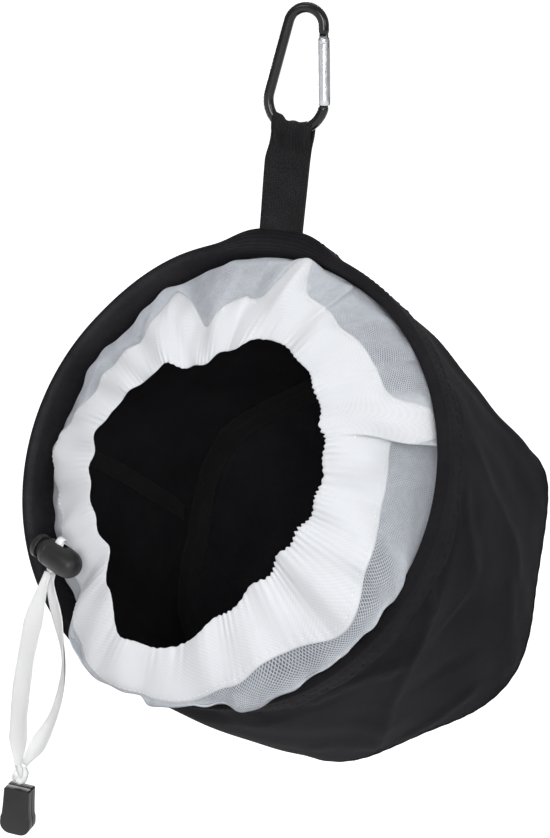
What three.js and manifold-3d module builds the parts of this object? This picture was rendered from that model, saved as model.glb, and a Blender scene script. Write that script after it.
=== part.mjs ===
// Peg basket: a cloth bag on a wire hoop, with a net collar that a ribbon draws shut,
// hung from a snap hook by a loop of webbing. Millimetres, +Z up.
// The origin is the point inside the hook's top bow that hangs on a line or rail.
import * as THREE from 'three';
import { mergeVertices } from 'three/addons/utils/BufferGeometryUtils.js';
import Module from 'manifold-3d';

const wasm = await Module();
wasm.setup();

// Driving dimensions
const gap = 0.3;
const ringFacets = 48;
const degree = Math.PI / 180;

const hook = {
  rod: 4.6,
  topRadius: 7.9,
  baseRadius: 12.6,
  centres: 31.9,
  facing: 15 * degree,
  gateDiameter: 5.2,
  pivotBelowTop: 6.2,
  tangThickness: 2,
  tangWidth: 3.8,
  tangLength: 5.2,
  tangRise: 0.4,
  noseWidth: 3.2,
  noseRoot: 1,
  slotSpare: 2,
  rivetDiameter: 2,
  rivetHead: 3.4,
};

const webbing = {
  width: 20,
  ply: 1.6,
  bunched: 0.8,
  eyeAcross: 2.7,
  eyeUp: 3.4,
  waistBelowEye: 9.5,
  lip: 1.3,
  tail: 16,
};

const bag = {
  hoopRadius: 100,
  wire: 3,
  cloth: 1,
  hem: 19,
  wall: 1.4,
  depth: 162,
  tilt: 24.8 * degree,
  rootBelowHook: 95.5,
  aside: 5.5,
  seamAngle: 183.75 * degree,
  seamTape: 1.2,
  seamGap: 0.5,
  base: 1.6,
  binding: 9,
};

// How the cloth hangs: the pull of the webbing on the hem, and the wall's folds and corners.
const hang = {
  peak: 3.5,
  peakSpan: 10 * degree,
  sag: 12.6,
  swell: 2,
  fold: 1.2,
  belly: 6.5,
  bellyAngle: 265 * degree,
  bellySpan: 45 * degree,
  hollow: 3.5,
  hollowAngle: 45 * degree,
  hollowSpan: 25 * degree,
  lobe: 3.6,
  lobeCount: 6,
  corner: 3,
  cornerAngle: 38.6 * degree,
  cornerSpan: 9 * degree,
};

const collar = {
  net: 1,
  casingOuter: 76,
  casingInner: 57,
  forward: 16,
  layer: 0.9,
  channel: 1.6,
  foldCount: 12,
  foldDepth: 3.5,
  exitAngle: 205 * degree,
  exitSize: 8,
  dent: 8,
  dentAngle: 228 * degree,
  dentSpan: 24 * degree,
};

// The mouth as it hangs: [degrees round the hoop, share of casingInner].
const mouthOutline = [
  [0, 1], [30, 1], [57, 1.08], [77, 1.06], [92, 0.88], [112, 0.8], [138, 0.9], [165, 0.95],
  [190, 1.03], [228, 1.07], [245, 1.23], [262, 1.46], [278, 1.42], [296, 1.2], [312, 1.06], [335, 0.99],
  [360, 1],
];

const ribbon = { width: 9, thickness: 0.9, inset: 4, leadWidth: 3.6, leadThickness: 2.6 };

const lock = {
  place: [-55.3, -57.2, 20],
  barrelRadius: 6.5,
  boreRadius: 4.3,
  slotLength: 6.6,
  slotWidth: 3.4,
  slotCentre: -1.5,
  leadAt: -2.7,
  travel: 2.4,
};

const cordEnd = { width: 14.6, height: 23, depth: 6, bevel: 1.2 };

// Materials
const paint = (color, roughness, metalness) =>
  new THREE.MeshStandardMaterial({ color, roughness, metalness });
const materials = {
  blackCloth: paint(0x232123, 0.95, 0),
  webbing: paint(0x1b1b1d, 0.9, 0),
  whiteNet: paint(0xeceef1, 0.9, 0),
  whiteRibbon: paint(0xf2f2f0, 0.7, 0),
  steelWire: paint(0x8f9296, 0.4, 0.9),
  blackAluminium: paint(0x141416, 0.3, 0.9),
  silverAluminium: paint(0xc9ccd0, 0.3, 0.9),
  blackPlastic: paint(0x1d1d1f, 0.55, 0),
};

// Geometry helpers

// Shares vertices, drops empty triangles and turns the faces outward.
function tidy(geometry) {
  const bare = geometry.clone();
  bare.deleteAttribute('normal');
  bare.deleteAttribute('uv');
  const merged = mergeVertices(bare, 1e-4);
  const points = merged.getAttribute('position');
  const corner = (i) => new THREE.Vector3().fromBufferAttribute(points, i);
  const faces = [];
  let volume = 0;
  for (let i = 0; i < merged.index.count; i += 3) {
    const [a, b, c] = [0, 1, 2].map((k) => merged.index.getX(i + k));
    if (a === b || b === c || c === a) continue;
    faces.push([a, b, c]);
    volume += corner(a).dot(corner(b).cross(corner(c)));
  }
  const turned = volume < 0 ? faces.map(([a, b, c]) => [a, c, b]) : faces;
  merged.setIndex(turned.flat());
  merged.computeVertexNormals();
  return merged;
}

function warp(geometry, move) {
  const points = geometry.getAttribute('position');
  const point = new THREE.Vector3();
  for (let i = 0; i < points.count; i += 1) {
    point.fromBufferAttribute(points, i);
    move(point);
    points.setXYZ(i, point.x, point.y, point.z);
  }
  geometry.computeVertexNormals();
  return geometry;
}

function solid(geometry) {
  const shape = tidy(geometry);
  const vertProperties = Float32Array.from(shape.getAttribute('position').array);
  const triVerts = Uint32Array.from(shape.index.array);
  return new wasm.Manifold(new wasm.Mesh({ numProp: 3, vertProperties, triVerts }));
}

function surface(body) {
  const { vertProperties, triVerts } = body.getMesh();
  const geometry = new THREE.BufferGeometry();
  geometry.setAttribute('position', new THREE.BufferAttribute(vertProperties, 3));
  geometry.setIndex(new THREE.BufferAttribute(triVerts, 1));
  geometry.computeVertexNormals();
  return geometry;
}

// Turns a profile of [radius, height] points about the Z axis.
function revolve(profile, facets = ringFacets) {
  const points = profile.map(([r, z]) => new THREE.Vector2(r, z));
  return tidy(new THREE.LatheGeometry(points, facets).rotateX(Math.PI / 2));
}

const loopOf = (profile) => [...profile, profile[0]];

// Gives a midline of [radius, height] points a thickness, as a closed profile.
function band(midline, thickness) {
  const last = midline.length - 1;
  const side = (sign) => midline.map(([r, z], i) => {
    const [r0, z0] = midline[Math.max(i - 1, 0)];
    const [r1, z1] = midline[Math.min(i + 1, last)];
    const reach = (sign * thickness) / 2 / Math.hypot(r1 - r0, z1 - z0);
    return [r - reach * (z1 - z0), z + reach * (r1 - r0)];
  });
  return loopOf([...side(1), ...side(-1).reverse()]);
}

// Points on an arc of a circle in a profile, from one angle to another.
function arc(centre, radius, from, to, count) {
  return Array.from({ length: count + 1 }, (_, i) => {
    const angle = from + ((to - from) * i) / count;
    return [centre[0] + radius * Math.cos(angle), centre[1] + radius * Math.sin(angle)];
  });
}

function box(width, depth, height, x, y, z) {
  return new THREE.BoxGeometry(width, depth, height).translate(x, y, z);
}

function flatSection(width, thickness) {
  const edge = thickness / 2;
  const reach = width / 2 - edge;
  const shape = new THREE.Shape();
  shape.absarc(reach, 0, edge, -Math.PI / 2, Math.PI / 2);
  shape.absarc(-reach, 0, edge, Math.PI / 2, (3 * Math.PI) / 2);
  return shape;
}

function sweep(section, curve, steps, curveSegments) {
  const settings = { steps, curveSegments, extrudePath: curve, bevelEnabled: false };
  return tidy(new THREE.ExtrudeGeometry(section, settings));
}

// A ribbon's route: its width keeps to one direction, turned most in the middle of the run.
class RibbonLine extends THREE.CatmullRomCurve3 {
  constructor(points, across, turn = 0) {
    super(points);
    Object.assign(this, { across, turn });
  }

  computeFrenetFrames(steps) {
    const frames = { tangents: [], normals: [], binormals: [] };
    for (let i = 0; i <= steps; i += 1) {
      const tangent = this.getTangentAt(i / steps);
      const normal = this.across.clone().projectOnPlane(tangent).normalize();
      normal.applyAxisAngle(tangent, this.turn * Math.sin((Math.PI * i) / steps));
      frames.tangents.push(tangent);
      frames.normals.push(normal);
      frames.binormals.push(tangent.clone().cross(normal));
    }
    return frames;
  }
}

// Extrudes a shape drawn in Y and Z along X, centred on X = 0.
function extrudeAcross(shape, width, steps) {
  const settings = { depth: width, steps, curveSegments: 10, bevelEnabled: false };
  const turned = new THREE.ExtrudeGeometry(shape, settings);
  const order = new THREE.Matrix4().set(0, 0, 1, -width / 2, 1, 0, 0, 0, 0, 1, 0, 0, 0, 0, 0, 1);
  return tidy(turned.applyMatrix4(order));
}

const upward = new THREE.Vector3(0, 0, 1);
const smooth = (low, high, value) => THREE.MathUtils.smoothstep(value, low, high);

// 1 at an angle, falling to 0 on both sides of it.
function near(angle, centre, span) {
  const away = Math.atan2(Math.sin(angle - centre), Math.cos(angle - centre));
  return Math.exp(-((away / span) ** 2));
}

function piece(name, geometry, material) {
  const mesh = new THREE.Mesh(geometry, material);
  mesh.name = name;
  return mesh;
}

// Snap hook: a rod bent round two circles and their shared tangents, drawn in X and Z.
const topCentre = hook.rod / 2 - hook.topRadius;
const baseCentre = topCentre - hook.centres;
const barHeight = baseCentre - hook.baseRadius;
const slant = Math.asin((hook.baseRadius - hook.topRadius) / hook.centres);
const gateRun = hook.centres * Math.cos(slant);
const gateRadius = hook.gateDiameter / 2;

// A group whose origin is on the gate's line, with its Z axis up that line.
function onGateLine(below) {
  const place = new THREE.Object3D();
  place.position.set(
    hook.topRadius * Math.cos(slant) + below * Math.sin(slant),
    0,
    topCentre + hook.topRadius * Math.sin(slant) - below * Math.cos(slant),
  );
  place.rotation.y = -slant;
  place.updateMatrix();
  return place;
}

class HookLine extends THREE.Curve {
  constructor() {
    super();
    const start = onGateLine(hook.pivotBelowTop - gateRadius - gap).position;
    const bend = onGateLine(0).position;
    this.outline = new THREE.Path();
    this.outline.moveTo(start.x, start.z);
    this.outline.lineTo(bend.x, bend.z);
    this.outline.absarc(0, topCentre, hook.topRadius, slant, Math.PI - slant);
    this.outline.absarc(0, baseCentre, hook.baseRadius, Math.PI - slant, 2 * Math.PI + slant);
  }

  getPoint(t, target = new THREE.Vector3()) {
    const point = this.outline.getPointAt(t);
    return target.set(point.x, 0, point.y);
  }
}

function rivetBore() {
  const bore = new THREE.CylinderGeometry(
    hook.rivetDiameter / 2 + gap, hook.rivetDiameter / 2 + gap, 3 * hook.gateDiameter, 12);
  return bore.applyMatrix4(onGateLine(hook.pivotBelowTop).matrix);
}

function hookFrame() {
  const section = new THREE.Shape().absarc(0, 0, hook.rod / 2, 0, 2 * Math.PI);
  const rod = sweep(section, new HookLine(), 44, 10);
  const topTang = box(hook.tangWidth, hook.tangThickness, hook.tangLength, 0, 0, 0);
  topTang.applyMatrix4(onGateLine(hook.pivotBelowTop - hook.tangRise).matrix);
  const noseTang = box(hook.noseWidth, hook.tangThickness, hook.tangLength + hook.noseRoot, 0, 0, 0);
  noseTang.applyMatrix4(onGateLine(gateRun - hook.tangLength / 2 + hook.noseRoot).matrix);
  const frame = solid(rod).add(solid(topTang)).add(solid(noseTang)).subtract(solid(rivetBore()));
  return piece('carabiner_frame', surface(frame), materials.blackAluminium);
}

// The gate turns on its rivet, so its top is a ball and both ends are slotted for the tangs.
function hookGate() {
  const length = gateRun - hook.pivotBelowTop - gap;
  const bar = revolve([
    ...arc([0, 0], gateRadius, Math.PI / 2, 0, 4),
    [gateRadius, -length + 0.5],
    [gateRadius - 0.5, -length],
    [0, -length],
  ], 14);
  const slotWidth = hook.tangThickness + 2 * gap;
  const slotHalf = hook.tangLength / 2;
  const slotLength = hook.tangLength + hook.slotSpare;
  const topSlot = box(3 * gateRadius, slotWidth, slotLength, 0, 0, gateRadius - slotHalf - hook.tangRise);
  const noseSlot = box(3 * gateRadius, slotWidth, slotLength, 0, 0, slotHalf - length);
  const place = onGateLine(hook.pivotBelowTop).matrix;
  const tools = [topSlot, noseSlot].map((slot) => solid(slot.applyMatrix4(place)));
  const gate = tools.reduce((body, tool) => body.subtract(tool), solid(bar.applyMatrix4(place)));
  return piece('carabiner_gate', surface(gate.subtract(solid(rivetBore()))), materials.silverAluminium);
}

function hookRivet() {
  const shank = hook.rivetDiameter / 2;
  const wide = hook.rivetHead / 2;
  const head = gateRadius + gap;
  const half = [[shank, head], [wide, head], [wide - 0.2, head + 0.4], [0, head + 0.7]];
  const mirrored = half.map(([r, z]) => [r, -z]).reverse();
  const rivet = revolve([...mirrored, ...half], 12).rotateX(Math.PI / 2);
  rivet.applyMatrix4(onGateLine(hook.pivotBelowTop).matrix);
  return piece('carabiner_rivet', tidy(rivet), materials.silverAluminium);
}

// Webbing loop: an eye round the hook's lower bow, then two plies sewn flat, down to the rim.
const rootHeight = -bag.rootBelowHook;

function hangLoop() {
  const half = webbing.ply;
  const eye = barHeight - 0.1;
  const waist = eye - webbing.waistBelowEye;
  const foot = rootHeight + gap / 2;
  const rows = [0, 0.25, 0.5, 0.75, 1].map((t) => THREE.MathUtils.lerp(foot, waist, t));
  const outline = new THREE.Shape();
  const across = webbing.eyeAcross + half;
  outline.moveTo(half, foot);
  rows.forEach((z) => outline.lineTo(half, z));
  outline.bezierCurveTo(half, waist + 4, across, eye - 5, across, eye);
  outline.absellipse(0, eye, across, webbing.eyeUp + half, 0, Math.PI);
  outline.bezierCurveTo(-across, eye - 5, -half, waist + 4, -half, waist);
  rows.reverse().forEach((z) => outline.lineTo(-half, z));
  const opening = new THREE.Path().absellipse(0, eye, webbing.eyeAcross, webbing.eyeUp, 0, 2 * Math.PI);
  outline.holes.push(opening);
  const loop = extrudeAcross(outline, webbing.width, 8);
  const radius = hook.baseRadius;
  warp(loop, (p) => {
    const onBar = smooth(eye - 14, eye - 4, p.z);
    p.x *= 1 - (1 - webbing.bunched) * onBar;
    p.z += onBar * (radius - Math.sqrt(radius * radius - p.x * p.x));
    p.applyAxisAngle(upward, hook.facing * smooth(foot, waist, p.z));
  });
  return piece('hang_loop', loop, materials.webbing);
}

// Bag frame: origin at the hoop's centre, Z out of the mouth, Y toward the webbing.
const hemOut = bag.wire / 2 + gap + bag.cloth;
const hemIn = bag.wire / 2 + gap;
const anchorUnder = bag.hoopRadius + hemOut + gap;
const anchorOver = anchorUnder + webbing.ply;
const rootRadius = anchorOver + hang.peak + webbing.lip;
const bagCentre = new THREE.Vector3(
  bag.aside,
  -rootRadius * Math.sin(bag.tilt),
  rootHeight - rootRadius * Math.cos(bag.tilt),
);

// The webbing pulls the hem's outer cloth up into a peak.
const rootAngle = Math.PI / 2 + Math.asin(bag.aside / rootRadius);
const pulledUp = (x, y) => hang.peak * near(Math.atan2(y, x), rootAngle, hang.peakSpan);

// Bag Y and Z of a point given by row Y and Z.
function inBag(y, z) {
  const [dy, dz] = [y - bagCentre.y, z - bagCentre.z];
  const [s, c] = [Math.sin(bag.tilt), Math.cos(bag.tilt)];
  return [dy * s + dz * c, -dy * c + dz * s];
}

// The webbing's tail is sewn on the hem, and its lip turns up to the loop's foot.
function loopAnchor() {
  const lipTop = rootHeight - gap / 2;
  const front = inBag(-webbing.ply, lipTop);
  const back = inBag(webbing.ply, lipTop);
  const outline = new THREE.Shape();
  outline.moveTo(anchorUnder, webbing.ply);
  outline.lineTo(anchorOver, webbing.ply);
  outline.lineTo(...front);
  outline.lineTo(...back);
  outline.lineTo(anchorOver, -webbing.ply - gap);
  outline.lineTo(anchorOver, -webbing.tail);
  outline.lineTo(anchorUnder, -webbing.tail);
  const anchor = extrudeAcross(outline, webbing.width, 4).translate(-bag.aside, 0, 0);
  const bend = (p) => {
    const lip = smooth(anchorOver, front[0], p.y);
    const onHem = pulledUp(p.x, p.y) - (p.x * p.x) / (2 * anchorUnder);
    p.y += (1 - lip) * onHem;
  };
  return piece('hang_loop_anchor', warp(anchor, bend), materials.webbing);
}

function rimHoop() {
  const hoop = new THREE.TorusGeometry(bag.hoopRadius, bag.wire / 2, 6, ringFacets);
  return piece('rim_hoop', tidy(hoop), materials.steelWire);
}

// The hem folds over the wire and hangs down on both sides of the wall's edge.
function rimHem() {
  const centre = [bag.hoopRadius, 0];
  const hem = revolve(loopOf([
    [bag.hoopRadius + hemOut, -bag.hem],
    ...arc(centre, hemOut, 0, Math.PI, 5),
    [bag.hoopRadius - hemOut, -bag.hem],
    [bag.hoopRadius - hemIn, -bag.hem],
    ...arc(centre, hemIn, Math.PI, 0, 4),
    [bag.hoopRadius + hemIn, -bag.hem],
  ]));
  const pull = (p) => {
    const radius = Math.hypot(p.x, p.y);
    const outer = smooth(bag.hoopRadius - hemIn, bag.hoopRadius + hemIn, radius);
    const grown = 1 + (outer * pulledUp(p.x, p.y)) / radius;
    p.x *= grown;
    p.y *= grown;
  };
  return piece('rim_hem', warp(hem, pull), materials.blackCloth);
}

const wallOuter = bag.hoopRadius + hemIn - gap;
const wallInner = wallOuter - bag.wall;
const wallEnd = -bag.depth + bag.base;
const wallDepth = bag.depth - bag.hem;
const wallRow = (along) => -bag.hem - along * wallDepth;
const wallRows = [-hemOut, ...[0.02, 0.18, 0.43, 0.67, 0.86].map(wallRow), wallEnd];

// Below the hem the cloth swells, bellies at the bottom, falls into soft folds
// and drops toward the base, which is pulled out into corners.
function drape(p) {
  const along = THREE.MathUtils.clamp((-p.z - bag.hem) / wallDepth, 0, 1);
  const angle = Math.atan2(p.y, p.x);
  const middle = Math.sin(Math.PI * along);
  const fold = hang.swell + hang.fold * Math.cos(5 * angle + 0.6);
  const hollow = hang.hollow * near(angle, hang.hollowAngle, hang.hollowSpan);
  const belly = hang.belly * near(angle, hang.bellyAngle, hang.bellySpan);
  const lobes = hang.lobe * Math.cos(hang.lobeCount * (angle - hang.cornerAngle));
  const corner = hang.corner * near(angle, hang.cornerAngle, hang.cornerSpan);
  const low = Math.sin(Math.PI * along ** 0.6) * smooth(0.02, 0.15, along);
  const outward = middle * (fold - hollow) + low * belly;
  const grow = (outward + along * along * (lobes + corner)) * (Math.hypot(p.x, p.y) / wallOuter);
  p.x += grow * Math.cos(angle);
  p.y += grow * Math.sin(angle) - hang.sag * along * along;
}

function sideWall() {
  const middle = (wallOuter + wallInner) / 2;
  const wall = revolve(band(wallRows.map((z) => [middle, z]), bag.wall));
  return piece('side_wall', warp(wall, drape), materials.blackCloth);
}

// The seam allowance is taped flat on the inside of the wall, row by row with it.
function sideSeam() {
  const rows = wallRows.slice(1, -1);
  const radius = wallInner - bag.seamGap - bag.seamTape / 2;
  const tape = new THREE.BoxGeometry(bag.seamTape, bag.binding, rows.length - 1, 1, 1, rows.length - 1);
  tape.translate(-radius, 0, -(rows.length - 1) / 2).rotateZ(bag.seamAngle - Math.PI);
  const follow = (p) => {
    p.z = rows[Math.round(-p.z)];
    drape(p);
  };
  return piece('side_seam', warp(tidy(tape), follow), materials.webbing);
}

function basePanel() {
  const panel = new THREE.CylinderGeometry(wallOuter, wallOuter, bag.base, ringFacets);
  panel.rotateX(Math.PI / 2).translate(0, 0, wallEnd - gap - bag.base / 2);
  return piece('base_panel', warp(tidy(panel), drape), materials.blackCloth);
}

function baseBinding() {
  const outer = wallInner - bag.seamGap;
  const inner = outer - bag.seamTape;
  const binding = revolve(loopOf([
    [outer, wallEnd],
    [outer, wallEnd + bag.binding],
    [inner, wallEnd + bag.binding],
    [inner, wallEnd + bag.seamTape],
    [outer - bag.binding, wallEnd + bag.seamTape],
    [outer - bag.binding, wallEnd],
  ]));
  return piece('base_binding', warp(binding, drape), materials.webbing);
}

// How far the mouth stands out at an angle from the round casing, eased between its points.
function mouthShift(angle) {
  const turn = (angle / degree + 360) % 360;
  const next = mouthOutline.findIndex(([at]) => at > turn);
  const [from, start] = mouthOutline[next - 1];
  const [to, end] = mouthOutline[next];
  return collar.casingInner * (THREE.MathUtils.lerp(start, end, smooth(from, to, turn)) - 1);
}

// The collar's mouth hangs low, its net gathers into radial folds,
// and the cord lock's weight presses it in beside the exit.
const netSewn = bag.hoopRadius - hemIn + 1.5 * gap + collar.net / 2;
const netFolds = netSewn - 3 * collar.net;

function gather(p) {
  const radius = Math.hypot(p.x, p.y);
  const angle = Math.atan2(p.y, p.x);
  const span = netFolds - collar.casingOuter;
  const inward = THREE.MathUtils.clamp((netFolds - radius) / span, 0, 1);
  const grown = 1 + (smooth(0.35, 1, inward) * mouthShift(angle)) / radius;
  const fold = collar.foldDepth * Math.sin(Math.PI * inward) ** 2 * Math.cos(collar.foldCount * angle);
  const dent = collar.dent * near(angle, collar.dentAngle, collar.dentSpan) * smooth(0.2, 0.9, inward);
  p.x *= grown;
  p.y *= grown;
  p.z += fold - dent;
}

// Centre of the ribbon where it leaves the casing.
const ribbonInner = collar.casingInner + ribbon.inset;
const ribbonExit = new THREE.Vector3(ribbonInner + ribbon.width / 2, 0, collar.forward);
ribbonExit.applyAxisAngle(upward, collar.exitAngle);
gather(ribbonExit);

function meshCollar() {
  const under = -bag.hem - collar.net;
  const across = (share) => THREE.MathUtils.lerp(netSewn, collar.casingOuter, share);
  const rise = (share) => THREE.MathUtils.lerp(under, collar.forward, share);
  const net = revolve(band([
    [netSewn, -2 * hemIn],
    [netSewn, -bag.hem + gap],
    [netSewn - 0.8 * collar.net, under],
    [netFolds, under - 0.1],
    [across(0.35), rise(0.28)],
    [across(0.58), rise(0.62)],
    [across(0.84), rise(0.93)],
    [collar.casingOuter + gap, collar.forward],
    [collar.casingOuter - 2.5 * collar.net, collar.forward],
  ], collar.net));
  return piece('mesh_collar', warp(net, gather), materials.whiteNet);
}

// The casing folds round the ribbon at the mouth and takes the net between its layers.
function drawstringCasing() {
  const half = collar.channel / 2;
  const whole = half + collar.layer;
  const mid = collar.forward;
  const casing = revolve(loopOf([
    [collar.casingOuter, mid + half],
    [collar.casingOuter, mid + whole],
    [collar.casingInner + 3, mid + whole],
    [collar.casingInner + 0.6, mid + whole / 2],
    [collar.casingInner + 0.6, mid - whole / 2],
    [collar.casingInner + 3, mid - whole],
    [collar.casingOuter, mid - whole],
    [collar.casingOuter, mid - half],
    [collar.casingInner + 2.2, mid - half],
    [collar.casingInner + 2.2, mid + half],
  ]));
  const slot = box(collar.exitSize, collar.exitSize, 4, 0, 0, 2.6).rotateZ(collar.exitAngle);
  const open = solid(warp(casing, gather)).subtract(solid(slot.translate(...ribbonExit)));
  return piece('drawstring_casing', surface(open), materials.whiteNet);
}

function drawstringLoop() {
  const outer = ribbonInner + ribbon.width;
  const top = collar.forward + ribbon.thickness / 2;
  const bottom = collar.forward - ribbon.thickness / 2;
  const loop = revolve(loopOf([[ribbonInner, bottom], [outer, bottom], [outer, top], [ribbonInner, top]]));
  return piece('drawstring_loop', warp(loop, gather), materials.whiteRibbon);
}

// Cord lock frame: X along the barrel to its domed end, Z up through the slot.
const bagTurn = new THREE.Euler(Math.PI / 2 - bag.tilt, 0, 0);
const bagMatrix = new THREE.Matrix4().makeRotationFromEuler(bagTurn).setPosition(bagCentre);
const lockPlace = new THREE.Vector3(...lock.place).applyMatrix4(bagMatrix);
const lockAxis = new THREE.Vector3(0.974, -0.225, 0).applyEuler(bagTurn).normalize();
const lockDown = new THREE.Vector3(0, -0.139, -0.99).projectOnPlane(lockAxis).normalize();
const lockMatrix = new THREE.Matrix4().makeBasis(
  lockAxis,
  lockDown.clone().negate().cross(lockAxis),
  lockDown.clone().negate(),
).setPosition(lockPlace.clone().addScaledVector(lockAxis, -lock.leadAt));

// Turns a profile of [radius, x] points about the barrel's axis.
const turnedOnBarrel = (profile, facets) => revolve(profile, facets).rotateY(Math.PI / 2);

function lockSlot(centre) {
  return solid(box(lock.slotLength, lock.slotWidth, 4 * lock.barrelRadius, centre, 0, 0));
}

function lockBarrel() {
  const barrel = turnedOnBarrel([
    [0, 11],
    [2.8, 10.5],
    [5, 8.6],
    [6.2, 5.4],
    [lock.barrelRadius, 0],
    [6.2, -5.6],
    [5.6, -8.5],
    [lock.boreRadius, -8.5],
    [lock.boreRadius, 5.5],
    [0, 5.5],
  ], 16);
  const open = surface(solid(barrel).subtract(lockSlot(lock.slotCentre)));
  return piece('lock_barrel', open.applyMatrix4(lockMatrix), materials.blackPlastic);
}

function lockPlunger() {
  const shank = lock.boreRadius - gap;
  const under = -8.5 - gap - lock.travel;
  const plunger = turnedOnBarrel([
    [0, 1.5],
    [shank, 1.5],
    [shank, under],
    [5.4, under],
    [5.4, under - 2.2],
    [4.4, under - 3],
    [0, under - 3.4],
  ], 16);
  const open = surface(solid(plunger).subtract(lockSlot(lock.slotCentre - lock.travel)));
  return piece('lock_plunger', open.applyMatrix4(lockMatrix), materials.blackPlastic);
}

class Helix extends THREE.Curve {
  constructor(radius, start, pitch, turns) {
    super();
    Object.assign(this, { radius, start, pitch, turns });
  }

  getPoint(t, target = new THREE.Vector3()) {
    const angle = 2 * Math.PI * this.turns * t;
    const x = this.start + this.pitch * this.turns * t;
    return target.set(x, this.radius * Math.cos(angle), this.radius * Math.sin(angle));
  }
}

function lockSpring() {
  const wire = 0.5;
  const turns = 2.5;
  const start = 1.5 + gap + wire / 2;
  const pitch = (5.5 - gap - wire / 2 - start) / turns;
  const section = new THREE.Shape().absarc(0, 0, wire / 2, 0, 2 * Math.PI);
  const spring = sweep(section, new Helix(2.8, start, pitch, turns), 30, 3);
  return piece('lock_spring', spring.applyMatrix4(lockMatrix), materials.steelWire);
}

// Both ribbon ends leave the casing folded together and run through the lock.
const leadEnd = lockPlace.clone().addScaledVector(lockDown, 7.7);

function ribbonLead() {
  const fromExit = (x, y, z) => new THREE.Vector3(x, y, z).add(ribbonExit).applyMatrix4(bagMatrix);
  const inLock = (reach) => lockPlace.clone().addScaledVector(lockDown, reach);
  const route = new RibbonLine([
    fromExit(0, 0, ribbon.thickness / 2 + gap),
    fromExit(0, 0, 6),
    fromExit(3, -6, 11),
    inLock(-13),
    inLock(-8),
    inLock(0),
    leadEnd,
  ], lockAxis);
  const section = flatSection(ribbon.leadWidth, ribbon.leadThickness);
  return piece('ribbon_lead', sweep(section, route, 18, 3), materials.whiteRibbon);
}

// Free ends: each route is given as drops from the lock's underside, left and right strand.
const strandStart = leadEnd.clone().addScaledVector(lockDown, gap);
const knotDrop = new THREE.Vector3(-5.2, -6.4, -97.6);
const knotHalf = 3.4;
const knotPlace = strandStart.clone().add(knotDrop);
const strandRoutes = {
  ribbon_strand_left: [
    [-0.3, -1, 0], [-1.6, -2.1, -6], [-3.9, -5.4, -25],
    [-6.1, -7.8, -56], [-6.4, -7.9, -78], [-5.6, -7.6, -93.8],
  ],
  ribbon_strand_right: [
    [0.3, 1, -0.4], [0, 0.8, -5], [6.4, 0.8, -24],
    [9.4, 2, -47], [6.2, 0.2, -70], [-4.3, -5.2, -93.3],
  ],
};

const strandTurns = { ribbon_strand_left: 0.25, ribbon_strand_right: 1.1 };

function ribbonStrand(name) {
  const points = strandRoutes[name].map((drop) => strandStart.clone().add(new THREE.Vector3(...drop)));
  const across = new THREE.Vector3(Math.cos(hook.facing), Math.sin(hook.facing), 0);
  const route = new RibbonLine(points, across, strandTurns[name]);
  const section = flatSection(ribbon.width, ribbon.thickness);
  return piece(name, sweep(section, route, 26, 3), materials.whiteRibbon);
}

function ribbonKnot() {
  const knot = revolve([
    [0, -knotHalf],
    [2.2, -2.9],
    [3.2, -1.5],
    [2.6, 0],
    [3.3, 1.5],
    [2.1, 3],
    [0, knotHalf],
  ], 12);
  return piece('ribbon_knot', knot.translate(...knotPlace), materials.whiteRibbon);
}

function ribbonEnd() {
  const half = cordEnd.width / 2;
  const round = half - cordEnd.bevel;
  const outline = new THREE.Shape();
  outline.moveTo(-round + 1.6, cordEnd.height - cordEnd.bevel);
  outline.lineTo(-round, cordEnd.height - 6);
  outline.lineTo(-round + 0.3, round + 0.2);
  outline.absarc(0, round + cordEnd.bevel - 0.9, round - 0.3, Math.PI, 2 * Math.PI);
  outline.lineTo(round, cordEnd.height - 6);
  outline.lineTo(round - 1.6, cordEnd.height - cordEnd.bevel);
  const body = new THREE.ExtrudeGeometry(outline, {
    depth: cordEnd.depth,
    curveSegments: 8,
    bevelThickness: cordEnd.bevel,
    bevelSize: cordEnd.bevel,
    bevelSegments: 2,
  });
  body.translate(0, -cordEnd.height, -cordEnd.depth / 2);
  body.rotateX(Math.PI / 2).rotateZ(hook.facing);
  body.translate(knotPlace.x, knotPlace.y, knotPlace.z - knotHalf - gap);
  return piece('cord_end', tidy(body), materials.blackPlastic);
}

// Assembly
const snapHook = new THREE.Group();
snapHook.rotation.z = hook.facing;
snapHook.add(hookFrame(), hookGate(), hookRivet());

const clothBag = new THREE.Group();
clothBag.position.copy(bagCentre);
clothBag.rotation.copy(bagTurn);
clothBag.add(
  loopAnchor(), rimHoop(), rimHem(), sideWall(), sideSeam(), basePanel(), baseBinding(),
  meshCollar(), drawstringCasing(), drawstringLoop(),
);

const drawstring = new THREE.Group();
drawstring.add(
  lockBarrel(), lockPlunger(), lockSpring(), ribbonLead(),
  ...Object.keys(strandRoutes).map(ribbonStrand), ribbonKnot(), ribbonEnd(),
);

const pegBasket = new THREE.Group();
pegBasket.add(snapHook, hangLoop(), clothBag, drawstring);

export default pegBasket;
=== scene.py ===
# Peg basket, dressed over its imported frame.
# Sizes are in millimetres and angles in degrees; a mesh becomes metres when it is made.
# A setting that ends in At is an angle on the bag's ring, and where it is a pair, also the span round it.
import math

import bmesh
import bpy
import numpy as np
from mathutils import Matrix, Vector


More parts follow.
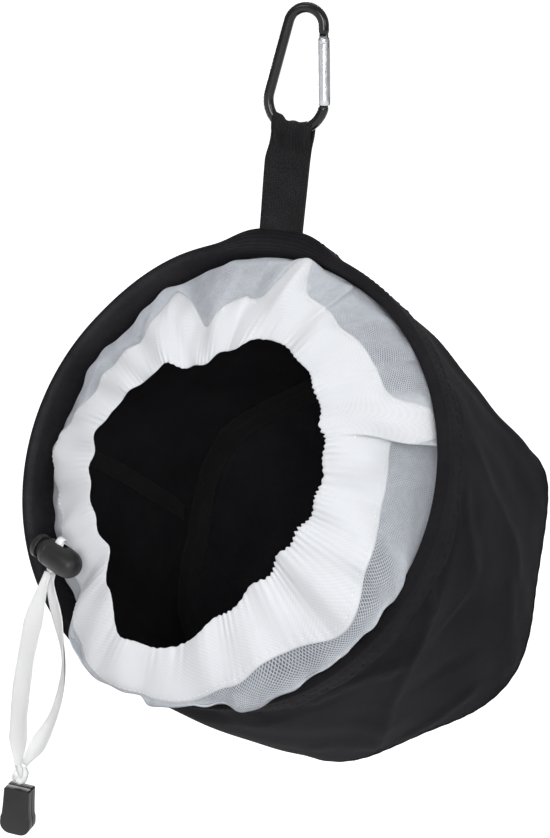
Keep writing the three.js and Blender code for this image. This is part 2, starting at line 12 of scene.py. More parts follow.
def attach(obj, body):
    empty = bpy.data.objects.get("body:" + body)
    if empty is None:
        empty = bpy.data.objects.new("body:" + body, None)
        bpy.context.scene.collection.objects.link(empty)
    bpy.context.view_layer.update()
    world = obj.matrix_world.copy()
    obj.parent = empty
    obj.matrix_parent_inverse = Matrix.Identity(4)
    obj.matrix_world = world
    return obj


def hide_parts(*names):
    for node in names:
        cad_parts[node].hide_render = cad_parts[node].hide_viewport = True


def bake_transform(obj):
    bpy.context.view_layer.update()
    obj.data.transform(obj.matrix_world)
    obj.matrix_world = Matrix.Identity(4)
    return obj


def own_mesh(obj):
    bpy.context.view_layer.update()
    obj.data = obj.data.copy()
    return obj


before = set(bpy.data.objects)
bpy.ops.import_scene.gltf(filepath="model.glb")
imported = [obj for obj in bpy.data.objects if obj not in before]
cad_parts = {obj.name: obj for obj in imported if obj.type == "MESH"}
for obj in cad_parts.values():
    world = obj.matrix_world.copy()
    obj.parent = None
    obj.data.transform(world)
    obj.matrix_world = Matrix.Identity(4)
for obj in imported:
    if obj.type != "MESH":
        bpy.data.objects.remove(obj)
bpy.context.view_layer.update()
mm = 0.001
chance = np.random.default_rng(11)  # fixed seed for every wrinkle
print("frame loaded:", len(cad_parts), "nodes")


# easing, turning and waves
def smooth(low, high, value):
    share = np.clip((np.asarray(value, float) - low) / (high - low), 0, 1)
    return share * share * (3 - 2 * share)


def turnFrom(angle, centre):
    # the shorter way round, from -180 to 180
    return (np.asarray(angle, float) - centre + 180) % 360 - 180


def near(angle, centre, span):
    return np.exp(-((turnFrom(angle, centre) / span) ** 2))


def wave(angle, count, phase=0.0):
    return np.cos(np.radians(angle) * count + phase)


def gathers(angle, count, drift, turns):
    # a wave of uneven pitch
    return wave(angle, count, drift * np.sin(np.radians(angle) * turns))


def waves(angle, rows, share=0.0):
    # each row: height, count round the ring, phase, drift along the share
    turn = np.radians(angle)
    return sum(
        height * np.sin(count * turn + phase + drift * share) for height, count, phase, drift in rows
    )


def ringAngles(count):
    return np.arange(0, 360, 360 / count)


def fullTurn(count):
    return np.linspace(0, 2 * np.pi, count, endpoint=False)


# points and lines
def unit(vectors):
    vectors = np.asarray(vectors, float)
    return vectors / np.linalg.norm(vectors, axis=-1, keepdims=True)


def stacked(*coordinates):
    return np.stack(np.broadcast_arrays(*coordinates), -1)


def levelAxes(angle):
    # across and through, for what hangs turned by an angle
    turn = math.radians(angle)
    return np.array([math.cos(turn), math.sin(turn), 0]), np.array([-math.sin(turn), math.cos(turn), 0])


def between(p, q, start, end, at):
    return ((end - at) * p + (at - start) * q) / (end - start)


def curveThrough(points, count):
    # centripetal curve through the points, then spaced evenly
    points = np.asarray(points, float)
    held = np.vstack([2 * points[0] - points[1], points, 2 * points[-1] - points[-2]])
    runs = []
    for a, b, c, d in zip(held, held[1:], held[2:], held[3:]):
        knots = np.cumsum([0.0] + [np.sqrt(np.linalg.norm(q - p)) for p, q in ((a, b), (b, c), (c, d))])
        at = np.linspace(knots[1], knots[2], 30, endpoint=False)[:, None]
        first = between(a, b, knots[0], knots[1], at)
        second = between(b, c, knots[1], knots[2], at)
        third = between(c, d, knots[2], knots[3], at)
        early = between(first, second, knots[0], knots[2], at)
        late = between(second, third, knots[1], knots[3], at)
        runs.append(between(early, late, knots[1], knots[2], at))
    return evenly(np.vstack(runs + [points[-1:]]), count)


def evenly(line, count):
    run = np.concatenate([[0], np.cumsum(np.linalg.norm(np.diff(line, axis=0), axis=1))])
    at = np.linspace(0, run[-1], count)
    return np.stack([np.interp(at, run, line[:, k]) for k in range(line.shape[1])], -1)


def alongCubic(points, share):
    rest = 1 - share
    weights = (rest**3, 3 * rest**2 * share, 3 * rest * share**2, share**3)
    return sum(weight * point for weight, point in zip(weights, points))


# the bag's own frame: x across, y toward the webbing, z out of the mouth
bag = {
    "tilt": 24.8, "rootBelowHook": 95.5, "rootRadius": 109.5, "aside": 5.5,
    "bend": 2.6, "bendFrom": (-85, -45), "bendTo": (150, 118),
    "bendRadius": (86, 96), "bendDepth": (-90, -15),
}
leanSin = math.sin(math.radians(bag["tilt"]))
leanCos = math.cos(math.radians(bag["tilt"]))
bagCentre = np.array([
    bag["aside"],
    -bag["rootRadius"] * leanSin,
    -bag["rootBelowHook"] - bag["rootRadius"] * leanCos,
])
bagAxes = np.array([[1, 0, 0], [0, leanSin, leanCos], [0, -leanCos, leanSin]])


def fromBag(points):
    return bagCentre + np.asarray(points, float) @ bagAxes


def ringPoint(angle, radius, z, drop=0.0):
    # the hoop is bent a little out of round at the top and right, and the cloth near it follows
    turn = np.radians(angle)
    side = turnFrom(angle, 0)
    bend = bag["bend"] * smooth(*bag["bendFrom"], side) * smooth(*bag["bendTo"], side)
    radius = radius + bend * smooth(*bag["bendRadius"], radius) * smooth(*bag["bendDepth"], z)
    return stacked(radius * np.cos(turn), radius * np.sin(turn) - drop, z)


# mesh making
def outward(mesh):
    form = bmesh.new()
    form.from_mesh(mesh)
    bmesh.ops.remove_doubles(form, verts=form.verts, dist=1e-7)
    bmesh.ops.recalc_face_normals(form, faces=form.faces)
    form.to_mesh(mesh)
    form.free()


def addObject(name, data):
    made = bpy.data.objects.new(name, data)
    bpy.context.scene.collection.objects.link(made)
    return made


def gridPiece(name, grid, finish, around=False, across=False, caps=False, solid=False, wearAndPaintedLight=None):
    # rows run along the first axis; around and across close the second and the first
    rows, columns = grid.shape[:2]
    index = np.arange(rows * columns).reshape(rows, columns)
    k, i = np.meshgrid(
        np.arange(rows if across else rows - 1),
        np.arange(columns if around else columns - 1),
        indexing="ij",
    )
    k = k.ravel()
    i = i.ravel()
    corners = [(k, i), (k, i + 1), (k + 1, i + 1), (k + 1, i)]
    faces = np.stack([index[a % rows, b % columns] for a, b in corners], 1).tolist()
    step = np.linalg.norm(np.diff(grid, axis=1), axis=-1).mean() * mm
    drops = np.linalg.norm(np.diff(np.concatenate([grid, grid[:1]]), axis=0), axis=-1).mean(1) * mm
    run = np.concatenate([[0], np.cumsum(drops)])
    uv = np.stack([np.stack([b * step, run[a]], -1) for a, b in corners], 1).reshape(-1, 2)
    if caps:
        faces += [index[0].tolist(), index[-1].tolist()]
        uv = np.vstack([uv, np.zeros((2 * columns, 2))])
    mesh = bpy.data.meshes.new(name)
    mesh.from_pydata((grid.reshape(-1, 3) * mm).tolist(), [], faces)
    mesh.polygons.foreach_set("use_smooth", np.ones(len(faces), bool))
    layer = mesh.uv_layers.new(name="UVMap")
    layer.data.foreach_set("uv", uv.astype(np.float32).ravel())
    # the point attribute holds worn places and painted light; the finishes turn it into a paler tone
    if wearAndPaintedLight is not None:
        rubbedAndPaintedLight = mesh.attributes.new("wearAndPaintedLight", "FLOAT", "POINT")
        rubbedAndPaintedLight.data.foreach_set("value", np.broadcast_to(wearAndPaintedLight, (rows, columns)).astype(np.float32).ravel())
    if solid:
        outward(mesh)
    mesh.materials.append(finish)
    return addObject(name, mesh)


def settle(piece):
    # bakes a piece's modifiers into its mesh
    bpy.context.view_layer.update()
    graph = bpy.context.evaluated_depsgraph_get()
    made = bpy.data.meshes.new_from_object(piece.evaluated_get(graph))
    piece.modifiers.clear()
    before = piece.data
    piece.data = made
    bpy.data.meshes.remove(before)
    made.name = piece.name
    return piece


def thicken(piece, thickness):
    layer = piece.modifiers.new("thickness", "SOLIDIFY")
    layer.thickness = thickness * mm
    layer.offset = 0
    return settle(piece)


def crisp(piece, angle):
    piece.data.set_sharp_from_angle(angle=math.radians(angle))
    return piece


def roundSection(radius, count, flat=1.0):
    turn = fullTurn(count)
    return stacked(radius * np.cos(turn), radius * flat * np.sin(turn))


def ridingFrames(path, hint, twist=None, ring=False):
    # two directions across a path, the first one kept near the hint
    if ring:
        heading = unit(np.roll(path, -1, 0) - np.roll(path, 1, 0))
    else:
        heading = unit(np.gradient(path, axis=0))
    hint = np.broadcast_to(np.asarray(hint, float), path.shape)
    sideways = unit(hint - (hint * heading).sum(-1, keepdims=True) * heading)
    upward = np.cross(heading, sideways)
    if twist is not None:
        c = np.cos(twist)[:, None]
        s = np.sin(twist)[:, None]
        sideways, upward = c * sideways + s * upward, c * upward - s * sideways
    return sideways, upward


def sweepGrid(path, frames, section):
    sideways, upward = frames
    return path[:, None] + sideways[:, None] * section[..., 0:1] + upward[:, None] * section[..., 1:2]


def sweepPiece(name, path, frames, section, finish, ring=False):
    grid = sweepGrid(path, frames, section)
    return gridPiece(name, grid, finish, around=True, across=ring, caps=not ring, solid=True)


def lathePiece(name, profile, facets, place, axes, finish):
    # profile: distance from the axis, place along it; the axis is the first of axes
    away, along = np.asarray(profile, float).T[..., None]
    turn = fullTurn(facets)
    local = stacked(along, away * np.cos(turn), away * np.sin(turn))
    return gridPiece(name, place + local @ axes, finish, around=True, solid=True)


def cutBox(piece, size, centre, axes):
    signs = np.array([[i, j, k] for i in (-1, 1) for j in (-1, 1) for k in (-1, 1)])
    points = centre + (signs * np.array(size) / 2) @ axes
    mesh = bpy.data.meshes.new("slotTool")
    faces = [(0, 1, 3, 2), (4, 6, 7, 5), (0, 4, 5, 1), (2, 3, 7, 6), (0, 2, 6, 4), (1, 5, 7, 3)]
    mesh.from_pydata((points * mm).tolist(), [], faces)
    outward(mesh)
    tool = addObject("slotTool", mesh)
    slot = piece.modifiers.new("slot", "BOOLEAN")
    slot.object = tool
    slot.solver = "EXACT"
    settle(piece)
    bpy.data.objects.remove(tool)
    bpy.data.meshes.remove(mesh)


def dress(piece, body, node=None):
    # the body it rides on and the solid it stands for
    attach(piece, body)
    if node:
        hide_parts(node)


# camera at the photograph's viewing angle
view = {
    "right": (0.8534, 0.5131, 0.0921),
    "up": (-0.2185, 0.1916, 0.9569),
    "back": (0.4733, -0.8366, 0.2756),
    "place": (23.2, 22.4, 751),  # right, up and back from the middle of the hoop
    "lens": 73.89, "sensor": 36, "clip": 200000,
}
lens = bpy.data.cameras.new("camera")
lens.lens = view["lens"]
lens.sensor_width = view["sensor"]
lens.clip_end = view["clip"] * mm
camera = addObject("camera", lens)
bpy.context.scene.camera = camera
viewAxes = np.array([view["right"], view["up"], view["back"]])
eye = bagCentre + np.array(view["place"]) @ viewAxes
camera.matrix_world = Matrix.Translation((eye * mm).tolist()) @ Matrix(viewAxes.T.tolist()).to_4x4()
print("camera placed")


# finishes
def newFinish(name):
    material = bpy.data.materials.new(name)
    material.use_nodes = True
    tree = material.node_tree
    place = addNode(tree, "ShaderNodeTexCoord", {})
    return material, tree, tree.nodes["Principled BSDF"], place.outputs


def fill(tree, node, inputs):
    # links what is a socket and sets what is a value
    for key, value in inputs.items():
        if isinstance(value, bpy.types.NodeSocket):
            tree.links.new(value, node.inputs[key])
        else:
            node.inputs[key].default_value = value


def addNode(tree, kind, inputs, **settings):
    made = tree.nodes.new(kind)
    for key, value in settings.items():
        setattr(made, key, value)
    fill(tree, made, inputs)
    return made


def bands(tree, vector, pitch, direction, distortion=0.4):
    # one period of the wave texture is pi / 10 of its scaled space
    scale = math.pi / 10 / (pitch * mm)
    made = addNode(tree, "ShaderNodeTexWave", {
        "Vector": vector, "Scale": scale, "Distortion": distortion, "Detail": 1.0, "Detail Scale": 0.6,
    }, bands_direction=direction)
    return made.outputs["Fac"]


def noise(tree, vector, size, detail, roughness=0.6):
    inputs = {"Vector": vector, "Scale": 1 / (size * mm), "Detail": detail, "Roughness": roughness}
    return addNode(tree, "ShaderNodeTexNoise", inputs).outputs["Fac"]


def maths(tree, operation, first, second):
    return addNode(tree, "ShaderNodeMath", {0: first, 1: second}, operation=operation).outputs[0]


def scaled(tree, value, by):
    return maths(tree, "MULTIPLY", value, by)


def added(tree, total, *others):
    for other in others:
        total = maths(tree, "ADD", total, other)
    return total


def ramp(tree, value, dark, light, low=0.3, high=0.7):
    made = addNode(tree, "ShaderNodeValToRGB", {"Fac": value})
    first, last = made.color_ramp.elements
    first.position = low
    first.color = (*dark, 1)
    last.position = high
    last.color = (*light, 1)
    return made.outputs["Color"]


def spread(tree, value, low, high):
    inputs = {"Value": value, "From Min": 0.25, "From Max": 0.75, "To Min": low, "To Max": high}
    return addNode(tree, "ShaderNodeMapRange", inputs).outputs["Result"]


def bump(tree, height, depth, strength, **under):
    inputs = {"Height": height, "Strength": strength, "Distance": depth * mm, **under}
    return addNode(tree, "ShaderNodeBump", inputs).outputs["Normal"]


def wovenFinish(name, cloth):
    # warp and weft, cloudy patches, slubs, and a paler tone from a point attribute that holds wear and
    # painted light: rubbed crease tops with a painted highlight, and painted fill light inside the hem
    material, tree, shader, place = newFinish(name)
    warp = bands(tree, place["UV"], cloth["warp"], "X")
    weft = bands(tree, place["UV"], cloth["weft"], "Y")
    weave = scaled(tree, warp, weft)
    patches = noise(tree, place["Object"], cloth["patch"], 6.0)
    slubs = noise(tree, place["Object"], cloth["slub"], 3.0)
    rubbedAndPaintedLight = addNode(tree, "ShaderNodeAttribute", {}, attribute_name="wearAndPaintedLight").outputs["Fac"]
    tone = added(tree, scaled(tree, weave, cloth["weaveTone"]), patches)
    tone = added(tree, tone, scaled(tree, slubs, 0.4), scaled(tree, rubbedAndPaintedLight, 0.3))
    colour = ramp(tree, scaled(tree, tone, 0.5), cloth["dark"], cloth["light"], 0.2, 0.5)
    colour.node.color_ramp.elements.new(0.95).color = (*cloth["rubbedAndPaintedLight"], 1)
    slubBump = bump(tree, slubs, cloth["slubDepth"], 0.6)
    fill(tree, shader, {
        "Base Color": colour,
        "Roughness": spread(tree, slubs, *cloth["roughness"]),
        "Normal": bump(tree, weave, cloth["weaveDepth"], 0.8, Normal=slubBump),
        "Specular IOR Level": cloth["gloss"],
        "Sheen Weight": cloth["sheen"],
        "Sheen Roughness": 0.5,
        "Sheen Tint": (*cloth["sheenTint"], 1),
    })
    return material


# each cloth's third colour is the pale tone for worn places and painted light
blackCloth = wovenFinish("blackCloth", {
    "warp": 0.62, "weft": 0.7, "patch": 38, "slub": 2.2,
    "weaveTone": 0.4, "weaveDepth": 0.16, "slubDepth": 0.24,
    "dark": (0.0066, 0.0062, 0.0074), "light": (0.0178, 0.0169, 0.0195), "rubbedAndPaintedLight": (0.06, 0.058, 0.063),
    "roughness": (0.82, 0.95), "gloss": 0.05, "sheen": 0.018, "sheenTint": (0.8, 0.78, 0.84),
})
blackWebbing = wovenFinish("blackWebbing", {
    "warp": 1.25, "weft": 0.8, "patch": 22, "slub": 1.4,
    "weaveTone": 0.55, "weaveDepth": 0.35, "slubDepth": 0.1,
    "dark": (0.006, 0.0058, 0.0065), "light": (0.019, 0.0182, 0.0198), "rubbedAndPaintedLight": (0.05, 0.05, 0.052),
    "roughness": (0.7, 0.85), "gloss": 0.12, "sheen": 0.03, "sheenTint": (0.8, 0.8, 0.85),
})
bindingTape = wovenFinish("bindingTape", {
    "warp": 0.9, "weft": 0.55, "patch": 18, "slub": 1.2,
    "weaveTone": 0.5, "weaveDepth": 0.2, "slubDepth": 0.08,
    "dark": (0.0046, 0.0044, 0.005), "light": (0.0115, 0.011, 0.0122), "rubbedAndPaintedLight": (0.03, 0.03, 0.031),
    "roughness": (0.72, 0.88), "gloss": 0.2, "sheen": 0.04, "sheenTint": (0.8, 0.8, 0.85),
})
whiteRibbon = wovenFinish("whiteRibbon", {
    "warp": 0.42, "weft": 0.36, "patch": 16, "slub": 1.1,
    "weaveTone": 0.4, "weaveDepth": 0.07, "slubDepth": 0.05,
    "dark": (0.92, 0.922, 0.93), "light": (0.98, 0.98, 0.985), "rubbedAndPaintedLight": (0.98, 0.98, 0.98),
    "roughness": (0.42, 0.6), "gloss": 0.4, "sheen": 0.15, "sheenTint": (1, 1, 1),
})


def netFinish(name, net):
    # open knitted cloth: pale holes between bright diagonal threads
    material, tree, shader, place = newFinish(name)
    first = bands(tree, place["UV"], net["pitch"], "DIAGONAL", 0.25)
    across = addNode(tree, "ShaderNodeMapping", {"Vector": place["UV"], "Rotation": (0, 0, math.pi / 2)})
    second = bands(tree, across.outputs["Vector"], net["pitch"], "DIAGONAL", 0.25)
    knit = maths(tree, "MAXIMUM", first, second)
    fuzz = noise(tree, place["Object"], net["fuzz"], 5.0)
    tone = added(tree, scaled(tree, knit, 0.6), scaled(tree, fuzz, 0.5))
    fill(tree, shader, {
        "Base Color": ramp(tree, tone, net["hole"], net["thread"], 0.25, 0.75),
        "Roughness": spread(tree, fuzz, *net["roughness"]),
        "Normal": bump(tree, knit, net["depth"], 0.7),
        "Specular IOR Level": net["gloss"],
        "Sheen Weight": net["sheen"],
        "Subsurface Weight": net["glow"],
        "Subsurface Radius": (1, 1, 1),
        "Subsurface Scale": net["glowReach"] * mm,
    })
    return material


gatheredNet = netFinish("gatheredNet", {
    "pitch": 0.8, "fuzz": 5, "depth": 0.06, "glow": 0.3, "glowReach": 1.5,
    "hole": (0.73, 0.745, 0.78), "thread": (0.785, 0.8, 0.83),
    "roughness": (0.6, 0.82), "gloss": 0.25, "sheen": 0.2,
})


def threadFinish(name, thread):
    material, tree, shader, place = newFinish(name)
    fuzz = noise(tree, place["Object"], thread["fuzz"], 4.0)
    fill(tree, shader, {
        "Base Color": ramp(tree, fuzz, thread["dark"], thread["light"]),
        "Roughness": spread(tree, fuzz, *thread["roughness"]),
        "Normal": bump(tree, fuzz, 0.05, 0.5),
        "Specular IOR Level": thread["gloss"],
        "Sheen Weight": thread["sheen"],
        "Alpha": thread["cover"],
    })
    return material


netThread = threadFinish("netThread", {
    "fuzz": 2.5, "dark": (0.58, 0.61, 0.66), "light": (0.68, 0.71, 0.765),
    "roughness": (0.5, 0.7), "gloss": 0.3, "sheen": 0.1, "cover": 1,
})
netHaze = threadFinish("netHaze", {
    "fuzz": 13, "dark": (0.4, 0.43, 0.48), "light": (0.76, 0.79, 0.84),
    "roughness": (0.7, 0.9), "gloss": 0.1, "sheen": 0.1, "cover": 0.45,
})
blackThread = threadFinish("blackThread", {
    "fuzz": 0.8, "dark": (0.007, 0.0067, 0.0074), "light": (0.02, 0.019, 0.021),
    "roughness": (0.6, 0.8), "gloss": 0.12, "sheen": 0.03, "cover": 1,
})
whiteThread = threadFinish("whiteThread", {
    "fuzz": 0.8, "dark": (0.78, 0.78, 0.79), "light": (0.93, 0.93, 0.93),
    "roughness": (0.5, 0.7), "gloss": 0.35, "sheen": 0.2, "cover": 1,
})


def hardFinish(name, hard):
    # metals and mouldings: fine grain, handling marks and a worn tone
    material, tree, shader, place = newFinish(name)
    grain = addNode(tree, "ShaderNodeMapping", {"Vector": place["Object"], "Scale": hard["stretch"]})
    fine = noise(tree, grain.outputs["Vector"], hard["grain"], 3.0)
    marks = noise(tree, place["Object"], hard["mark"], 5.0, 0.65)
    worn = added(tree, scaled(tree, marks, 0.6), scaled(tree, fine, 0.4))
    fill(tree, shader, {
        "Base Color": ramp(tree, marks, hard["dark"], hard["light"]),
        "Roughness": spread(tree, worn, *hard["roughness"]),
        "Normal": bump(tree, fine, hard["depth"], 0.5),
        "Metallic": hard["metal"],
        "Specular IOR Level": hard["gloss"],
        "Coat Weight": hard["coat"],
        "Coat Roughness": 0.15,
    })
    return material


blackAnodised = hardFinish("blackAnodised", {
    "stretch": (1, 1, 1), "grain": 0.35, "mark": 6, "depth": 0.012,
    "dark": (0.004, 0.004, 0.0045), "light": (0.009, 0.009, 0.01),
    "roughness": (0.13, 0.24), "metal": 0.0, "gloss": 0.35, "coat": 0.05,
})
silverAluminium = hardFinish("silverAluminium", {
    "stretch": (1, 1, 0.12), "grain": 0.3, "mark": 5, "depth": 0.01,
    "dark": (0.42, 0.43, 0.45), "light": (0.56, 0.57, 0.59),
    "roughness": (0.24, 0.4), "metal": 1.0, "gloss": 0.5, "coat": 0.0,
})
steelWire = hardFinish("steelWire", {
    "stretch": (1, 1, 1), "grain": 0.3, "mark": 4, "depth": 0.01,
    "dark": (0.42, 0.42, 0.43), "light": (0.6, 0.6, 0.61),
    "roughness": (0.25, 0.45), "metal": 1.0, "gloss": 0.5, "coat": 0.0,
})
blackPlastic = hardFinish("blackPlastic", {
    "stretch": (1, 1, 1), "grain": 0.28, "mark": 7, "depth": 0.02,
    "dark": (0.008, 0.008, 0.0085), "light": (0.016, 0.016, 0.017),
    "roughness": (0.38, 0.54), "metal": 0.0, "gloss": 0.36, "coat": 0.0,
})
print("finishes made")

# ribbon ends, the only free cords
ribbon = {
    "lockPlace": (-55.3, -57.2, 20),
    "lockAxis": (0.97434, -0.09441, -0.20432),
    "lockDown": (-0.21498, -0.12155, -0.96902),
    "leadFrom": [(-58, -54.5, 1), (-57, -53, 8), (-55, -50.8, 15.5)],
    "leadDrops": (-7.4, 0, 7.7),
    "width": 9, "thickness": 0.5, "ripple": 0.25, "facing": 15,
    "bunchedTop": 0.6, "bunchedFoot": 0.66,
    "routes": {
        "ribbonStrandLeft": {
            "drops": [(-0.3, -1, 0), (-1.6, -2.1, -6), (-3.9, -5.4, -25), (-6.1, -7.8, -56),
                      (-6.4, -7.9, -78), (-5.6, -7.6, -93.8)],
            "twist": 0.25, "cup": 0.7, "node": "ribbon_strand_left",
        },
        "ribbonStrandRight": {
            "drops": [(0.3, 1, -0.4), (0, 0.8, -5), (6.4, 0.8, -24), (9.4, 2, -47),
                      (6.2, 0.2, -70), (-4.3, -5.2, -93.3)],
            "twist": 1.1, "cup": 1.1, "node": "ribbon_strand_right",
        },
    },
    "knotDrop": (-5.2, -6.4, -97.6),
}
lockPlace = fromBag(ribbon["lockPlace"])
lockAxis = unit(ribbon["lockAxis"])
lockDown = unit(ribbon["lockDown"])
strandStart = lockPlace + lockDown * (ribbon["leadDrops"][-1] + 0.3)
ribbonFacing, ribbonThrough = levelAxes(ribbon["facing"])
knotPlace = strandStart + np.array(ribbon["knotDrop"])


def ribbonStrand(name, route):
    path = curveThrough(strandStart + np.array(route["drops"]), 90)
    share = np.linspace(0, 1, len(path))
    frames = ridingFrames(path, ribbonFacing, route["twist"] * np.sin(np.pi * share))
    across = np.linspace(-0.5, 0.5, 13)
    bunched = ribbon["bunchedTop"] * smooth(0.28, 0, share) + ribbon["bunchedFoot"] * smooth(0.84, 1, share)
    ripple = ribbon["ripple"] * np.sin(share * 17 + 1)[:, None] * across * 2
    cup = route["cup"] * (4 * across**2 - 0.33) + ripple
    section = stacked(across * ribbon["width"] * (1 - bunched)[:, None], cup)
    piece = thicken(gridPiece(name, sweepGrid(path, frames, section), whiteRibbon), ribbon["thickness"])
    return piece, path


strands = {name: ribbonStrand(name, route) for name, route in ribbon["routes"].items()}

knot = {
    "loop": 1.45, "swell": 0.45, "deep": 0.75, "tall": 1.7, "low": 0.6,
    "radius": 1.8, "flat": 0.8, "lump": 0.12,
}


def knotPiece():
    # an overhand knot pulled tight
    turn = fullTurn(120)
    wide = 1 + knot["swell"] * np.cos(3 * turn)
    height = knot["tall"] * wide * np.sin(2 * turn) - knot["low"]
    loop = stacked(wide * np.cos(2 * turn), knot["deep"] * np.sin(3 * turn), height)
    path = knotPlace + loop * knot["loop"]
    frames = ridingFrames(path, unit(path - knotPlace), ring=True)
    lumps = 1 + knot["lump"] * np.sin(5 * turn)
    section = lumps[:, None, None] * roundSection(knot["radius"], 12, knot["flat"])
    return sweepPiece("ribbonKnot", path, frames, section, whiteRibbon, ring=True)


cordEnd = {
    "below": 6.5, "height": 22.6, "half": 6, "depth": 7.4, "bevel": 1.1, "toe": 4.9,
    "parting": (0.03, 0.28),
    "edge": [(5.5, 0), (6.1, 0.6), (6.3, 8), (6.6, 13), (7.2, 15), (7.3, 17.7)],
}


def cordEndPiece():
    # moulded clamp: straight top, sides that flare, round foot and a parting line
    foot = cordEnd["height"]
    toe = cordEnd["toe"]
    wide, low = cordEnd["edge"][-1]
    swing = np.linspace(0, np.pi / 2, 8)[1:]
    corner = [(wide - toe + toe * math.cos(a), low + (foot - low) * math.sin(a)) for a in swing]
    right = cordEnd["edge"] + corner
    outline = np.array(right + [(-x, down) for x, down in reversed(right)], float)
    groove, inset = cordEnd["parting"]
    levels = [(-0.5, 0), (-groove, 0), (-groove, inset), (groove, inset), (groove, 0), (0.5, 0)]
    centre = np.array([0, foot / 2])
    top = knotPlace - np.array([0, 0, cordEnd["below"]])
    axes = np.array([ribbonFacing, (0, 0, -1), ribbonThrough])
    rings = []
    for level, sunk in levels:
        flat = centre + (outline - centre) * (1 - sunk / cordEnd["half"])
        rings.append(top + stacked(flat[:, 0], flat[:, 1], level * cordEnd["depth"]) @ axes)
    piece = gridPiece("cordEndClamp", np.array(rings), blackPlastic, around=True, caps=True, solid=True)
    edge = piece.modifiers.new("edge", "BEVEL")
    edge.width = cordEnd["bevel"] * mm
    edge.segments = 3
    edge.limit_method = "ANGLE"
    edge.angle_limit = math.radians(50)
    return crisp(settle(piece), 28)


ribbonKnot = knotPiece()
cordEndClamp = cordEndPiece()
for name, route in ribbon["routes"].items():
    piece, path = strands[name]
    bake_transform(piece)  # the lock slides along it
    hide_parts(route["node"])
dress(ribbonKnot, "bag", "ribbon_knot")
dress(cordEndClamp, "bag", "cord_end")
print("ribbon ends made")

# snap hook
hook = {
    "rod": 4.6, "topRadius": 7.9, "baseRadius": 12.6, "topCentre": -5.6, "baseCentre": -37.5,
    "stub": (3.3, 0.3), "facing": 15, "gate": 5.2, "pivot": 6.2, "gap": 0.4, "nose": 2.6, "lean": 2,
    "tang": (2, 3.8, 5.2), "tangBelow": 5.4, "noseTang": (2, 3.2, 6.2), "noseTangBelow": -1.6,
    "pivotSlot": (9, 9, 2.6), "pivotSlotBelow": -1.6, "noseSlot": (7.2, 5.4, 2.6), "noseSlotIn": 0.9,
}
hookSlant = math.asin((hook["baseRadius"] - hook["topRadius"]) / (hook["topCentre"] - hook["baseCentre"]))
hookAcross, hookThrough = levelAxes(hook["facing"])
skyward = np.array([0, 0, 1.0])
gateRun = (hook["topCentre"] - hook["baseCentre"]) * math.cos(hookSlant)
gateAway = math.cos(hookSlant) * hookAcross + math.sin(hookSlant) * skyward
gateDown = math.sin(hookSlant) * hookAcross - math.cos(hookSlant) * skyward
gateTop = hook["topRadius"] * gateAway + hook["topCentre"] * skyward
noseAngle = 2 * math.pi + hookSlant - hook["nose"] / hook["baseRadius"]


def onGate(below):
    return gateTop + below * gateDown


def bow(centre, radius, start, end, count):
    turn = np.linspace(start, end, count)[:, None]
    return radius * np.cos(turn) * hookAcross + (centre + radius * np.sin(turn)) * skyward


def hookRod():
    line = np.vstack([
        onGate(np.linspace(*hook["stub"], 6)[:, None]),
        bow(hook["topCentre"], hook["topRadius"], hookSlant, math.pi - hookSlant, 40),
        bow(hook["baseCentre"], hook["baseRadius"], math.pi - hookSlant, noseAngle, 70),
    ])
    path = evenly(line, 150)
    ease = np.ones(len(path))
    ease[[0, -1]] = 0.86  # rounded ends
    ease[[1, -2]] = 0.97
    section = roundSection(hook["rod"] / 2, 28) * ease[:, None, None]
    return crisp(sweepPiece("hookRod", path, ridingFrames(path, hookThrough), section, blackAnodised), 50)


def squared(value):
    # turns a circle into a rounded rectangle
    return np.sign(value) * np.abs(value) ** 0.35


def tangPiece(name, size, below):
    # flat blade with rounded edges, along the gate
    thin, wide, tall = size
    run = np.linspace(-tall / 2, tall / 2, 9)
    path = onGate((below + run)[:, None])
    turn = fullTurn(24)
    section = stacked(wide / 2 * squared(np.cos(turn)), thin / 2 * squared(np.sin(turn)))
    ends = 1 - 0.25 * np.abs(run / tall * 2)[:, None, None] ** 8
    frames = (gateAway[None], hookThrough[None])
    return crisp(sweepPiece(name, path, frames, section * ends, blackAnodised), 40)


def gatePiece():
    radius = hook["gate"] / 2
    length = gateRun - hook["pivot"] - hook["gap"] + hook["nose"]
    cap = [(radius * math.cos(a), -radius * math.sin(a)) for a in np.linspace(math.pi / 2, 0, 10)]
    body = [(radius, v) for v in np.linspace(0, length - 0.5, 14)[1:]]
    foot = [(radius - 0.15, length - 0.2), (radius - 0.5, length), (0, length)]
    axes = np.array([gateDown, gateAway, hookThrough])
    place = onGate(hook["pivot"])
    piece = lathePiece("hookGate", cap + body + foot, 40, place, axes, silverAluminium)
    cutBox(piece, hook["pivotSlot"], place + gateDown * hook["pivotSlotBelow"], axes)
    cutBox(piece, hook["noseSlot"], place + gateDown * length + gateAway * hook["noseSlotIn"], axes)
    return crisp(piece, 30)


def rivetPiece():
    reach = hook["gate"] / 2
    head = [(0, -0.35), (1.1, -0.3), (1.6, 0.05), (1.7, 0.35), (1, 0.35)]
    profile = [(radius, x - reach) for radius, x in head]
    profile += [(radius, reach - x) for radius, x in reversed(head)]
    axes = np.array([hookThrough, gateAway, gateDown])
    return crisp(lathePiece("hookRivet", profile, 28, onGate(hook["pivot"]), axes, silverAluminium), 45)


def joinPieces(name, pieces):
    form = bmesh.new()
    for piece in pieces:
        form.from_mesh(piece.data)
    pieces[0].data.name = name
    form.to_mesh(pieces[0].data)
    form.free()
    for piece in pieces[1:]:
        bpy.data.objects.remove(piece)
    pieces[0].name = name
    return pieces[0]


def leanHook(piece):
    # the hook hangs a little askew, turned on its rivet
    pivot = Matrix.Translation((onGate(hook["pivot"]) * mm).tolist())
    turn = Matrix.Rotation(math.radians(hook["lean"]), 4, Vector(hookThrough))
    piece.data.transform(pivot @ turn @ pivot.inverted())
    return piece


